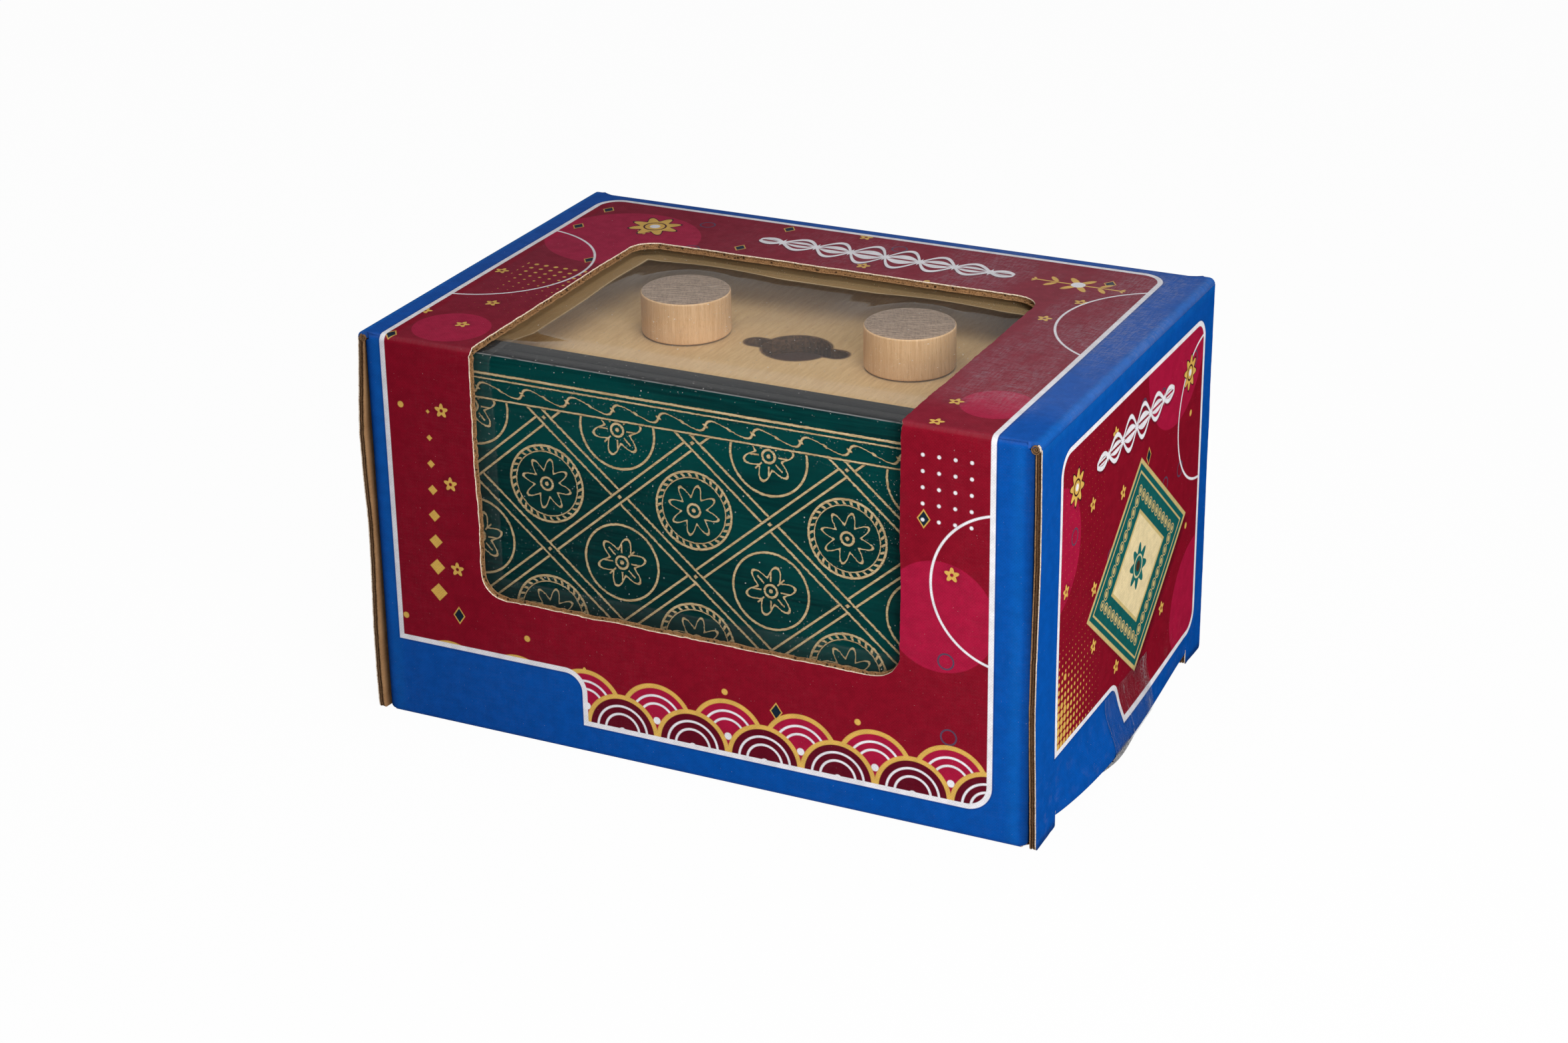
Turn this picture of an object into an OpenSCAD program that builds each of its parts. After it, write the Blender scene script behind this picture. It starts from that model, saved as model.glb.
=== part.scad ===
// Boxed wooden secret box: a stained plywood box with two turned knobs and a keyhole in its
// sunk lid, packed in a corrugated carton whose window folds over the front and the top.
// Millimetres. The origin is at the middle of the carton's underside: +X is to the right,
// +Y to the back and +Z up.

/* [Wooden box] */
// Width of the wooden box across its front
wood_w = 158; // [140:1:180]
// Depth of the wooden box from front to back
wood_d = 104.6; // [95:0.1:130]
// Height of the wooden box from its underside to its rim
wood_h = 89.65; // [80:0.05:110]
// Thickness of the plywood walls
wall_t = 4.5; // [3.5:0.5:6]
// Thickness of the second board behind the front panel
liner_t = 4.5; // [3:0.5:6]
// Thickness of the lid
lid_t = 4; // [3:0.5:5]
// Depth of the lid's face below the rim
lid_drop = 10.5; // [9:0.1:12]
// Thickness of the bottom board
base_t = 4; // [3:0.5:6]
// Width and height of the strips that carry the lid
cleat = 6; // [4:0.5:8]
// Play around the lid
lid_play = 0.3; // [0.2:0.05:0.6]

/* [Carton] */
// Thickness of the corrugated board
board = 1.5; // [1.2:0.1:1.8]
// Outer radius of the folds between the panels
fold_r = 2; // [1.9:0.1:3]
// Width of the window
window_w = 104.5; // [80:0.5:115]
// Depth of the window below the top fold
window_drop = 60.6; // [40:0.1:75]
// Reach of the window from the front fold towards the back
window_reach = 81.1; // [50:0.1:90]
// Offset of the window from the middle of the carton
window_x = -1.25; // [-5:0.25:5]
// Radius of the window's corners
window_r = 6.5; // [3:0.5:10]
// Thickness of the clear film behind the window
film_t = 0.25; // [0.15:0.05:0.4]
// Width of the film glued behind the window's edge
film_glue = 5; // [3:0.5:10]
// Radius of the film's bend behind the front fold
film_r = 2.5; // [2:0.1:3]

/* [End closure] */
// Angle to which an end flap swings open
flap_open = 100; // [60:5:110]
// Length of a dust flap from its crease
dust_len = 32; // [20:1:45]
// Height of a dust flap's lower edge above the table
dust_foot = 7; // [6:0.5:12]
// Depth of a dust flap's upper edge below the top, at its crease
dust_top = 3; // [3:0.5:8]
// Length of a tuck tab from its crease
tuck_len = 12; // [8:0.5:14]
// Width of an end flap's foot beside the front panel
front_foot = 12; // [8:0.5:20]
// Width of an end flap's foot beside the back panel
back_foot = 10.5; // [8:0.5:20]
// Width of the slit between a foot and the tuck crease
slit_w = 0.8; // [0.6:0.1:1.5]
// Height of that slit above the table
slit_h = 7; // [5:0.5:12]
// Set-back of an end flap's upright edges from the carton's faces
flap_inset = 0.5; // [0.3:0.1:1.5]
// Width of the clear tape that seals the right end
tape_w = 28; // [12:1:40]
// Height of the tape's upper edge above the table
tape_top = 17; // [12:1:40]
// Thickness of the tape
tape_t = 0.1; // [0.08:0.01:0.15]
// Offset of the tape from the middle of the end
tape_y = 0.75; // [-20:0.25:20]

/* [Knobs and keyhole] */
// Diameter of a knob
knob_d = 21.2; // [16:0.1:24]
// Height of a knob
knob_h = 10.2; // [8:0.1:10.4]
// Distance between the knobs' axes
knob_pitch = 57.2; // [50:0.1:70]
// Offset of the keyhole from the middle of the box, to the left
lock_left = 1.5; // [0:0.1:4]
// Offset of the keyhole from the middle of the lid, to the back
lock_back = 1.4; // [0:0.1:4]
// Diameter of the keyhole
keyhole_d = 16; // [12:0.5:18]
// Length of the keyhole over its two ears
keyhole_len = 25.9; // [22:0.1:28]
// Width of a keyhole's ear
ear_w = 5; // [3:0.5:6]
// Thickness of the board that closes the keyhole from below
backing_t = 2.5; // [1.5:0.5:3.5]

/* [Lock] */
// Angle through which a knob turns from locked to open
knob_turn = 45; // [40:1:60]
// Diameter of a knob's spindle
spindle_d = 6; // [5:0.5:6]
// Radial clearance of a spindle in its bores
spindle_fit = 0.05; // [0.02:0.01:0.1]
// Depth of the spindle's socket in a knob
socket = 7; // [5:0.5:7.5]
// Module of the pinions and racks
tooth_m = 1; // [1:0.05:1.2]
// Teeth on a pinion
teeth = 10; // [10:1:12]
// Play between a pinion and its rack
backlash = 0.15; // [0.1:0.05:0.3]
// Thickness of the bolts and pinions
bolt_t = 3.9; // [3:0.1:4.5]
// Width of a bolt behind the rack's pitch line
bolt_w = 8; // [6:0.5:10]
// Reach of a locked bolt into the side wall
bolt_throw = 2.8; // [1.5:0.1:2.8]
// Width of the strips that guide a bolt
guide_w = 6; // [4:0.5:8]
// Thickness of the cover under the lock
cover_t = 3; // [2:0.5:4]
// Diameter of a cover screw
screw_d = 2.5; // [2:0.1:3]

/* [Hidden] */
$fn = 64;

// Colours of the printed board, its raw edge, the stained box and the bare wood
print_blue = [0.06, 0.25, 0.58];
kraft = [0.72, 0.53, 0.35];
stain_green = [0.02, 0.28, 0.26];
char_black = [0.20, 0.20, 0.21];
bare_ply = [0.83, 0.73, 0.55];
beech = [0.86, 0.68, 0.48];
steel = [0.75, 0.75, 0.77];

// Small gaps: under and over a tuck tab, between the box and what lies round it
tuck_gap = 0.45;
over_tuck = 0.3;
under_film = 0.3;
film_gap = 0.05;
end_gap = 0.4;
front_gap = 2.15;
back_gap = 0.75;
crease_gap = 0.1;
bottom_inset = 0.6;
slide_gap = 0.15;
eps = 0.01;

// The carton is cut to the wooden box, so its size follows from it
end_stack = 2 * board + crease_gap + end_gap;
carton_w = wood_w + 2 * end_stack;
carton_d = wood_d + front_gap + back_gap + 2 * board;
tuck_z = board + tuck_gap;
wood_z = tuck_z + board + over_tuck;
rim_z = wood_z + wood_h;
film_z = rim_z + under_film + film_t;
carton_h = film_z + film_gap + board;
inner_top = carton_h - board;
inner_y = carton_d / 2 - board;
dust_x = carton_w / 2 - 2 * board - crease_gap;
flap_x = carton_w / 2 - board;

// The wooden box inside the carton
wood_front = -inner_y + front_gap;
wood_back = inner_y - back_gap;
wood_in_x = wood_w / 2 - wall_t;
lid_front = wood_front + wall_t + liner_t;
lid_back = wood_back - wall_t;
lid_z = rim_z - lid_drop;
lid_under = lid_z - lid_t;

// The lock under the lid
lock_x = -lock_left;
lock_y = (lid_front + lid_back) / 2 + lock_back;
pitch_r = tooth_m * teeth / 2;
pressure = 25;
rack_tip = 0.8 * tooth_m;
pinion_tip = 0.9 * tooth_m;
tooth_gap = 0.2 * tooth_m;
tooth_pitch = PI * tooth_m;
bolt_travel = pitch_r * knob_turn * PI / 180;
bolt_z = lid_under - slide_gap - bolt_t;
cover_z = bolt_z - slide_gap - cover_t;
rack_half = 1.5 * tooth_pitch;
guide_gap = 0.2;
guide_clear = 2;
cover_margin = 4;
screw_head_d = 2 * screw_d;
screw_sink = 0.5 * screw_d;
screw_bite = lid_t - 1;
spindle_r = spindle_d / 2;
mortice_d = bolt_throw + 0.3;
washer = 0.2;

// A rectangle from its lowest corner, with each corner given its own radius as an arc
module panel2d(x0, y0, x1, y1, r) {
    translate([x0 + r, y0]) square([x1 - x0 - 2 * r, y1 - y0]);
    translate([x0, y0 + r]) square([x1 - x0, y1 - y0 - 2 * r]);
    for (x = [x0 + r, x1 - r], y = [y0 + r, y1 - r]) translate([x, y]) circle(r);
}

// A profile drawn in Y and Z, drawn out along X from x0 to x1
module along_x(x0, x1) {
    translate([x0, 0, 0]) rotate([90, 0, 90]) linear_extrude(x1 - x0) children();
}

// A profile drawn in X and Z, drawn out along Y from y0 to y1
module along_y(y0, y1) {
    translate([0, y1, 0]) rotate([90, 0, 0]) linear_extrude(y1 - y0) children();
}

// A block between two corners
module block(a, b) {
    translate(a) cube(b - a);
}

// A quarter of a rod: the outside of a crease, in the corner given by the signs sx and sy
module crease2d(sx, sy, r = board) {
    intersection() {
        circle(r);
        translate([min(0, sx * r), min(0, sy * r)]) square(r);
    }
}

// ---- Carton ----

module window_opening() {
    x0 = window_x - window_w / 2;
    x1 = window_x + window_w / 2;
    top_over = 2 * window_r + board;
    along_y(-carton_d / 2 - 1, -inner_y + film_r)
        panel2d(x0, carton_h - window_drop, x1, carton_h + top_over, window_r);
    translate([0, 0, inner_top - film_r]) linear_extrude(film_r + board + 1)
        panel2d(x0, -carton_d / 2 - top_over, x1, -carton_d / 2 + window_reach, window_r);
}

// The four panels, with the crease of each flap along their ends
module carton_sleeve() color(print_blue) difference() {
    union() {
        along_x(-dust_x, dust_x) difference() {
            panel2d(-carton_d / 2, 0, carton_d / 2, carton_h, fold_r);
            panel2d(-inner_y, board, inner_y, inner_top, fold_r - board);
        }
        for (s = [-1, 1]) {
            block([min(0, s * flap_x), -carton_d / 2 + fold_r, inner_top],
                  [max(0, s * flap_x), carton_d / 2 - fold_r, carton_h]);
            block([min(0, s * (flap_x - bottom_inset)), -carton_d / 2 + fold_r, 0],
                  [max(0, s * (flap_x - bottom_inset)), carton_d / 2 - fold_r, board]);
            along_y(-carton_d / 2 + fold_r, carton_d / 2 - fold_r)
                translate([s * flap_x, inner_top]) crease2d(s, 1);
            for (t = [-1, 1]) translate([s * dust_x, t * inner_y, fold_r])
                linear_extrude(carton_h - 2 * fold_r) crease2d(s, t);
        }
    }
    window_opening();
}

// One sheet of clear film, bent down behind the front fold
module window_film() color([0.9, 0.95, 1, 0.3]) {
    y0 = -inner_y + film_gap;
    along_x(window_x - window_w / 2 - film_glue, window_x + window_w / 2 + film_glue) {
        translate([y0, carton_h - window_drop - film_glue])
            square([film_t, window_drop + film_glue - carton_h + film_z - film_r]);
        translate([y0 + film_r, film_z - film_t])
            square([-carton_d / 2 + window_reach + film_glue - y0 - film_r, film_t]);
        translate([y0 + film_r, film_z - film_r]) difference() {
            crease2d(-1, 1, film_r);
            circle(film_r - film_t);
        }
    }
}

// The hinge lines of the flaps
flap_top = inner_top - crease_gap;
tuck_front = -carton_d / 2 + flap_inset + front_foot;
tuck_back = carton_d / 2 - flap_inset - back_foot;
tuck_top = tuck_z + board;

// The side of the carton that hangs from the top panel and stands on two feet, drawn for the
// right end: the left end is its mirror image
module end_flap() {
    y0 = -carton_d / 2 + flap_inset;
    along_x(flap_x, carton_w / 2) difference() {
        translate([y0, 0]) square([-2 * y0, flap_top]);
        translate([tuck_front, -1]) square([slit_w, slit_h + 1]);
        translate([tuck_back - slit_w, -1]) square([slit_w, slit_h + 1]);
        translate([tuck_front, -1]) square([tuck_back - tuck_front, tuck_top + 1]);
    }
    along_y(tuck_front + slit_w, tuck_back - slit_w)
        translate([flap_x, tuck_top]) crease2d(1, -1);
}

// The tab that tucks in under the wooden box, tapered towards its free edge
module tuck_tab() {
    root = flap_x - crease_gap;
    taper = tuck_len / 4;
    y0 = tuck_front + slit_w + crease_gap;
    y1 = tuck_back - slit_w - crease_gap;
    translate([0, 0, tuck_z]) linear_extrude(board) polygon([
        [root, y0], [root, y1], [root - tuck_len + taper, y1 - taper / 2],
        [root - tuck_len, y1 - 2 * taper], [root - tuck_len, y0 + 2 * taper],
        [root - tuck_len + taper, y0 + taper / 2]
    ]);
}

// The flap behind the end flap, its upper edge cut at 45 degrees to clear it
module dust_flap() {
    y0 = -inner_y + crease_gap;
    top = inner_top - dust_top;
    along_x(dust_x, dust_x + board) polygon([
        [y0, dust_foot], [y0, top], [y0 + dust_len, top - dust_len],
        [y0 + dust_len, dust_foot + board], [y0 + dust_len - board, dust_foot]
    ]);
}

// Clear tape over the tuck crease of the right end
module tape_seal() color([0.85, 0.87, 0.9, 0.5]) along_y(tape_y - tape_w / 2, tape_y + tape_w / 2) {
    translate([carton_w / 2, tuck_top]) square([tape_t, tape_top - tuck_top]);
    translate([flap_x, tuck_top]) difference() {
        crease2d(1, -1, board + tape_t);
        circle(board);
    }
}

module right_end_flap() color(print_blue) end_flap();
module left_end_flap() color(print_blue) mirror([1, 0, 0]) end_flap();
module right_tuck_tab() color(kraft) tuck_tab();
module left_tuck_tab() color(kraft) mirror([1, 0, 0]) tuck_tab();
module right_front_dust_flap() color(kraft) dust_flap();
module right_back_dust_flap() color(kraft) mirror([0, 1, 0]) dust_flap();
module left_front_dust_flap() color(kraft) mirror([1, 0, 0]) dust_flap();
module left_back_dust_flap() color(kraft) mirror([1, 0, 0]) mirror([0, 1, 0]) dust_flap();

// ---- Wooden box ----

// An upright board whose ends are mitred, from its plan
module upright(points) {
    translate([0, 0, wood_z]) linear_extrude(wood_h) polygon(points);
}

module front_panel() color(stain_green) upright([
    [-wood_w / 2, wood_front], [wood_w / 2, wood_front],
    [wood_in_x, wood_front + wall_t], [-wood_in_x, wood_front + wall_t]
]);

module back_panel() color(stain_green) upright([
    [wood_w / 2, wood_back], [-wood_w / 2, wood_back],
    [-wood_in_x, wood_back - wall_t], [wood_in_x, wood_back - wall_t]
]);

// A side wall with the mortice that takes its bolt: side is 1 on the right, -1 on the left
module side_wall(side) difference() {
    upright([
        [side * wood_w / 2, wood_front], [side * wood_w / 2, wood_back],
        [side * wood_in_x, wood_back - wall_t], [side * wood_in_x, wood_front + wall_t]
    ]);
    lock_half(side) block(
        [reach(side) - 1, pitch_r - guide_gap, bolt_z - slide_gap],
        [reach(side) + mortice_d, pitch_r + bolt_w + guide_gap, lid_under]);
}

module left_wall() color(stain_green) side_wall(-1);
module right_wall() color(stain_green) side_wall(1);

module front_liner() color(char_black)
    block([-wood_in_x, wood_front + wall_t, wood_z], [wood_in_x, lid_front, rim_z]);

module base_panel() color(bare_ply)
    block([-wood_in_x, lid_front, wood_z], [wood_in_x, lid_back, wood_z + base_t]);

module front_lid_cleat() color(bare_ply)
    block([-wood_in_x, lid_front, lid_under - cleat], [wood_in_x, lid_front + cleat, lid_under]);

module back_lid_cleat() color(bare_ply)
    block([-wood_in_x, lid_back - cleat, lid_under - cleat], [wood_in_x, lid_back, lid_under]);

// A round hole with an ear to each side
module keyhole2d() {
    circle(keyhole_d / 2);
    square([keyhole_len - ear_w, ear_w], center = true);
    for (s = [-1, 1]) translate([s * (keyhole_len - ear_w) / 2, 0]) circle(ear_w / 2);
}

module lid_board() color(bare_ply) difference() {
    block([-wood_in_x + lid_play, lid_front + lid_play, lid_under],
          [wood_in_x - lid_play, lid_back - lid_play, lid_z]);
    translate([lock_x, lock_y, lid_under - 1]) linear_extrude(lid_t + 2) keyhole2d();
    for (side = [-1, 1]) lock_half(side) {
        translate([0, 0, lid_under - 1]) cylinder(h = lid_t + 2, r = spindle_r + spindle_fit);
        for (p = screw_places(side)) translate([p.x, p.y, lid_under - 1])
            cylinder(h = screw_bite + 1, r = screw_d / 2);
    }
}

module keyhole_backing() color([0.45, 0.31, 0.2]) {
    edge = 2;
    translate([lock_x, lock_y, lid_under - backing_t])
        linear_extrude(backing_t)
            square([keyhole_len + 2 * edge, keyhole_d + 2 * edge], center = true);
}

// ---- Lock ----

// Each half of the lock is drawn about its knob's axis, with the side wall towards +X and the
// rack on the +Y side. The left half is the right half turned by half a turn.
module lock_half(side) {
    translate([lock_x + side * knob_pitch / 2, lock_y, 0]) rotate([0, 0, side > 0 ? 0 : 180])
        children();
}

// Distance from a knob's axis to the side wall's inner face
function reach(side) = wood_in_x - side * lock_x - knob_pitch / 2;

// Involute of the pressure angle a, in degrees
function involute(a) = tan(a) * 180 / PI - a;

// Half the angle that a pinion's tooth fills at radius r
function tooth_half(r) =
    let (base_r = pitch_r * cos(pressure), rr = max(r, base_r))
    (tooth_pitch - backlash) / 4 / pitch_r * 180 / PI + involute(pressure) - involute(acos(base_r / rr));

// Radii at which a tooth's flank is drawn, from its root to its tip
flank_steps = 6;
pinion_root = pitch_r - rack_tip - tooth_gap;
pinion_top = pitch_r + pinion_tip;
function flank_r(i) = pinion_root + (pinion_top - pinion_root) * i / flank_steps;
function polar(r, a) = [r * cos(a), r * sin(a)];

module pinion2d() {
    step = 360 / teeth;
    polygon([for (k = [0 : teeth - 1], i = [-flank_steps : flank_steps + 1])
        let (j = i <= 0 ? i + flank_steps : flank_steps + 1 - i,
             half = tooth_half(flank_r(j)))
        polar(flank_r(j), 90 + k * step + (i <= 0 ? -half : half))]);
}

module pinion() difference() {
    translate([0, 0, bolt_z]) linear_extrude(bolt_t) pinion2d();
    translate([0, 0, bolt_z - 1]) cylinder(h = bolt_t + 2, r = spindle_r + spindle_fit);
}

// The rack's teeth on the inner edge of a bolt, and the plain tail that enters the side wall
module bolt(side) {
    tail = reach(side) + bolt_throw;
    root_y = pitch_r + pinion_tip + tooth_gap;
    half_pitch = (tooth_pitch - backlash) / 4;
    tip_half = half_pitch - rack_tip * tan(pressure);
    root_half = half_pitch + (root_y - pitch_r) * tan(pressure);
    toothed = rack_half + bolt_travel;
    translate([0, 0, bolt_z]) linear_extrude(bolt_t) {
        translate([-rack_half, root_y]) square([rack_half + tail, pitch_r + bolt_w - root_y]);
        translate([toothed, pitch_r]) square([tail - toothed, root_y - pitch_r + eps]);
        for (x = [-rack_half + tooth_pitch : tooth_pitch : toothed])
            translate([x, 0]) polygon([
                [-root_half, root_y + eps], [-tip_half, pitch_r - rack_tip],
                [tip_half, pitch_r - rack_tip], [root_half, root_y + eps]
            ]);
    }
}

// Places of the cover's screws about a knob's axis
function screw_places(side) = [
    [-rack_half, outer_guide_y + guide_w / 2],
    [reach(side) - guide_clear - cover_margin, outer_guide_y + guide_w / 2],
    [reach(side) - guide_clear - cover_margin, inner_guide_y - guide_w / 2]
];
outer_guide_y = pitch_r + bolt_w + guide_gap;
inner_guide_y = pitch_r - guide_gap;

// The strip behind a bolt and the one in front of its tail
module bolt_guides(side) difference() {
    end = reach(side) - guide_clear;
    union() {
        block([-rack_half - guide_w, outer_guide_y, cover_z + cover_t],
              [end, outer_guide_y + guide_w, lid_under]);
        block([rack_half + bolt_travel + tooth_pitch, inner_guide_y - guide_w, cover_z + cover_t],
              [end, inner_guide_y, lid_under]);
    }
    for (p = screw_places(side)) translate([p.x, p.y, cover_z])
        cylinder(h = carton_h, r = screw_d / 2 + spindle_fit);
}

module lock_cover() color(bare_ply) difference() {
    half_y = outer_guide_y + guide_w;
    block([-wood_in_x + guide_clear, lock_y - half_y, cover_z],
          [wood_in_x - guide_clear, lock_y + half_y, cover_z + cover_t]);
    for (side = [-1, 1]) lock_half(side) {
        translate([0, 0, cover_z - 1]) cylinder(h = cover_t + 2, r = spindle_r + spindle_fit);
        for (p = screw_places(side)) translate([p.x, p.y, cover_z]) {
            translate([0, 0, -1]) cylinder(h = cover_t + 2, r = screw_d / 2 + spindle_fit);
            translate([0, 0, -eps]) cylinder(
                h = screw_sink + eps, r1 = screw_head_d / 2 + eps, r2 = screw_d / 2 + spindle_fit);
        }
    }
}

// Countersunk screws up through the cover and the guides into the lid
module cover_screws() color(steel) for (side = [-1, 1]) lock_half(side)
    for (p = screw_places(side)) translate([p.x, p.y, cover_z]) {
        cylinder(h = screw_sink, r1 = screw_head_d / 2 - spindle_fit, r2 = screw_d / 2);
        cylinder(h = lid_under + screw_bite - 0.2 - cover_z, r = screw_d / 2);
    }

// A spindle from under the cover up into its knob
module spindle() translate([0, 0, cover_z])
    cylinder(h = lid_z + washer + socket - cover_z, r = spindle_r);

// A turned knob with eased edges and a blind socket for its spindle
module knob() translate([0, 0, lid_z + washer]) {
    ease = 0.4;
    rotate_extrude() polygon([
        [spindle_r + spindle_fit, 0], [knob_d / 2 - ease, 0], [knob_d / 2, ease],
        [knob_d / 2, knob_h - ease], [knob_d / 2 - ease, knob_h], [0, knob_h],
        [0, socket + spindle_fit], [spindle_r + spindle_fit, socket + spindle_fit]
    ]);
}

module left_knob() color(beech) lock_half(-1) knob();
module right_knob() color(beech) lock_half(1) knob();
module left_spindle() color(beech) lock_half(-1) spindle();
module right_spindle() color(beech) lock_half(1) spindle();
module left_pinion() color(bare_ply) lock_half(-1) pinion();
module right_pinion() color(bare_ply) lock_half(1) pinion();
module left_bolt() color(bare_ply) lock_half(-1) bolt(-1);
module right_bolt() color(bare_ply) lock_half(1) bolt(1);
module left_bolt_guides() color(bare_ply) lock_half(-1) bolt_guides(-1);
module right_bolt_guides() color(bare_ply) lock_half(1) bolt_guides(1);

carton_sleeve();
window_film();
right_end_flap();
right_tuck_tab();
right_front_dust_flap();
right_back_dust_flap();
left_end_flap();
left_tuck_tab();
left_front_dust_flap();
left_back_dust_flap();
tape_seal();
front_panel();
front_liner();
back_panel();
left_wall();
right_wall();
base_panel();
front_lid_cleat();
back_lid_cleat();
lid_board();
keyhole_backing();
left_knob();
right_knob();
left_spindle();
right_spindle();
left_pinion();
right_pinion();
left_bolt();
right_bolt();
left_bolt_guides();
right_bolt_guides();
lock_cover();
cover_screws();
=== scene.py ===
"""Dresses the boxed secret box: printed window carton, clear film, stained box, lid and knobs."""

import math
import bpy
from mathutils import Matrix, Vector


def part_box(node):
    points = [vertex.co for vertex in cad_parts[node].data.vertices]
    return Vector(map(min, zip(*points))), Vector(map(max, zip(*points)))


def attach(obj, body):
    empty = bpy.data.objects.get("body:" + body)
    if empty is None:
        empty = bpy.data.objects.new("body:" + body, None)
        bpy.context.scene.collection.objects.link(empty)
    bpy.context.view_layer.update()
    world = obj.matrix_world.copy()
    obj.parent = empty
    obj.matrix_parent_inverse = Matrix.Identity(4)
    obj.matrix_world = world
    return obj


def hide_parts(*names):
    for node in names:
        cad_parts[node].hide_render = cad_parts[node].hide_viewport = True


bl_info = {
    "name": "Boxed Secret Box",
    "version": (1, 0, 0),
    "blender": (4, 5, 0),
    "location": "3D View > Sidebar > Secret Box",
    "description": "Builds the printed window carton and the stained wooden box inside it",
    "category": "Object",
}

import bmesh
import bpy
from mathutils import Matrix, Vector, noise

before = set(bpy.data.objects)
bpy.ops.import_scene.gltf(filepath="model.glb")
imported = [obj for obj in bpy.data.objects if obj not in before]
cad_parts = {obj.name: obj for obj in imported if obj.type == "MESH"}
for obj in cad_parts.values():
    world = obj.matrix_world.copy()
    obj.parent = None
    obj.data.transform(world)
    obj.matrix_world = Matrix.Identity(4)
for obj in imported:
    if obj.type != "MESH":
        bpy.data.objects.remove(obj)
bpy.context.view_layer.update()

MM = 0.001
HALF_D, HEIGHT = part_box("carton_sleeve")[1].yz
FLAP_LOW, FLAP_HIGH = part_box("right_end_flap")
TAB_LOW, TAB_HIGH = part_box("right_tuck_tab")
DUST_LOW, DUST_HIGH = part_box("right_front_dust_flap")
FILM_LOW, FILM_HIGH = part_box("window_film")
TAPE_LOW, TAPE_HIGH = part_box("tape_seal")
FRONT_LOW, FRONT_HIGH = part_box("front_panel")
LINER_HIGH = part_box("front_liner")[1]
BACKING_LOW, BACKING_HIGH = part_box("keyhole_backing")
DEPTH = 2 * HALF_D
FOLDS = (0.0, HEIGHT, HEIGHT + DEPTH, 2 * HEIGHT + DEPTH, 2 * HEIGHT + 2 * DEPTH)
INNER_EASE = 0.2 * MM
SIDES = ((1, "right"), (-1, "left"))
WHITE = (1.0, 1.0, 1.0)


# ---------------------------------------------------------------- settings


def screen(red, green, blue):
    """A colour given as 0 to 255 on a screen, as linear light."""
    parts = []
    for part in (red / 255, green / 255, blue / 255):
        if part <= 0.04045:
            parts.append(part / 12.92)
        else:
            parts.append(((part + 0.055) / 1.055) ** 2.4)
    return tuple(parts)


def size(name, text, default):
    """A length that a user may change."""
    return bpy.props.FloatProperty(
        name=name, description=text, default=default, min=0.0, unit="LENGTH", precision=5)


def tint(name, text, default):
    """A colour that a user may change."""
    return bpy.props.FloatVectorProperty(
        name=name, description=text, default=default, min=0.0, max=1.0, subtype="COLOR", size=3)


def amount(name, text, default, top=1.0):
    """A plain number that a user may change."""
    return bpy.props.FloatProperty(name=name, description=text, default=default, min=0.0, max=top)


class CartonLook(bpy.types.PropertyGroup):
    """Sizes and colours of the corrugated carton."""

    board: size("Board", "Thickness of the corrugated board", FLAP_HIGH.x - FLAP_LOW.x)
    liner: size("Liner", "Thickness of each paper liner as it shows at a cut", 0.25 * MM)
    fold: size("Fold radius", "Outer radius of the folds between panels", 1.7 * MM)
    hollow: size("Hollow", "How far the fluting lies behind the cut edge", 0.6 * MM)
    flute: size("Flute pitch", "Distance between two crests of the fluting", 3.3 * MM)
    window_left: size("Window left", "Window's left edge, left of the middle", 53.5 * MM)
    window_right: size("Window right", "Window's right edge, right of the middle", 51.0 * MM)
    window_foot: size("Window foot", "Height of the window's lower edge", 34.9 * MM)
    window_reach: size("Window reach", "Reach of the window over the top panel", 81.1 * MM)
    window_corner: size("Window corner", "Radius of the window's corners", 6.5 * MM)
    flare: size("Flare", "How far the left end flap springs outward", 1.5 * MM)
    ragged: size("Ragged edge", "Unevenness of the cut edges", 0.18 * MM)
    splay: size("Splay", "How far the window's cut leans out under the print", 0.35 * MM)
    blue: tint("Blue", "Printed border", screen(8, 80, 166))
    field: tint("Burgundy", "Printed field", screen(134, 16, 36))
    crimson: tint("Crimson", "Discs and fans in the field", screen(168, 24, 60))
    wine: tint("Wine", "Darker fans and shades in the field", screen(96, 14, 32))
    gold: tint("Gold", "Printed gold", screen(222, 178, 88))
    white: tint("White", "Printed white", screen(238, 236, 240))
    paper: tint("Liner paper", "Coated liner seen at a cut edge", screen(232, 218, 200))
    kraft: tint("Kraft", "Plain inside of the board", screen(164, 122, 82))


class BoxLook(bpy.types.PropertyGroup):
    """Sizes and colours of the wooden box."""

    ease: size("Eased edge", "Rounding of the boards' edges", 0.3 * MM)
    knob_ease: size("Knob edge", "Rounding of the knobs' edges", 0.55 * MM)
    cut: size("Engraving depth", "Depth of the engraved lines", 0.35 * MM)
    stain: tint("Green stain", "Stained plywood", screen(2, 62, 60))
    line: tint("Engraved line", "Wood bared by the engraving", screen(228, 202, 158))
    rim: tint("Painted rim", "Blackened board edges", screen(34, 36, 38))
    lid: tint("Lid", "Bare plywood", screen(206, 176, 130))
    burnt: tint("Keyhole", "Darkened wood in the keyhole", screen(66, 46, 38))
    beech: tint("Knob side", "Long grain of the knobs", screen(240, 204, 160))
    end_grain: tint("Knob top", "End grain of the knobs", screen(150, 126, 106))
    steel: tint("Steel", "Zinc-plated screws", screen(190, 192, 196))


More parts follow.
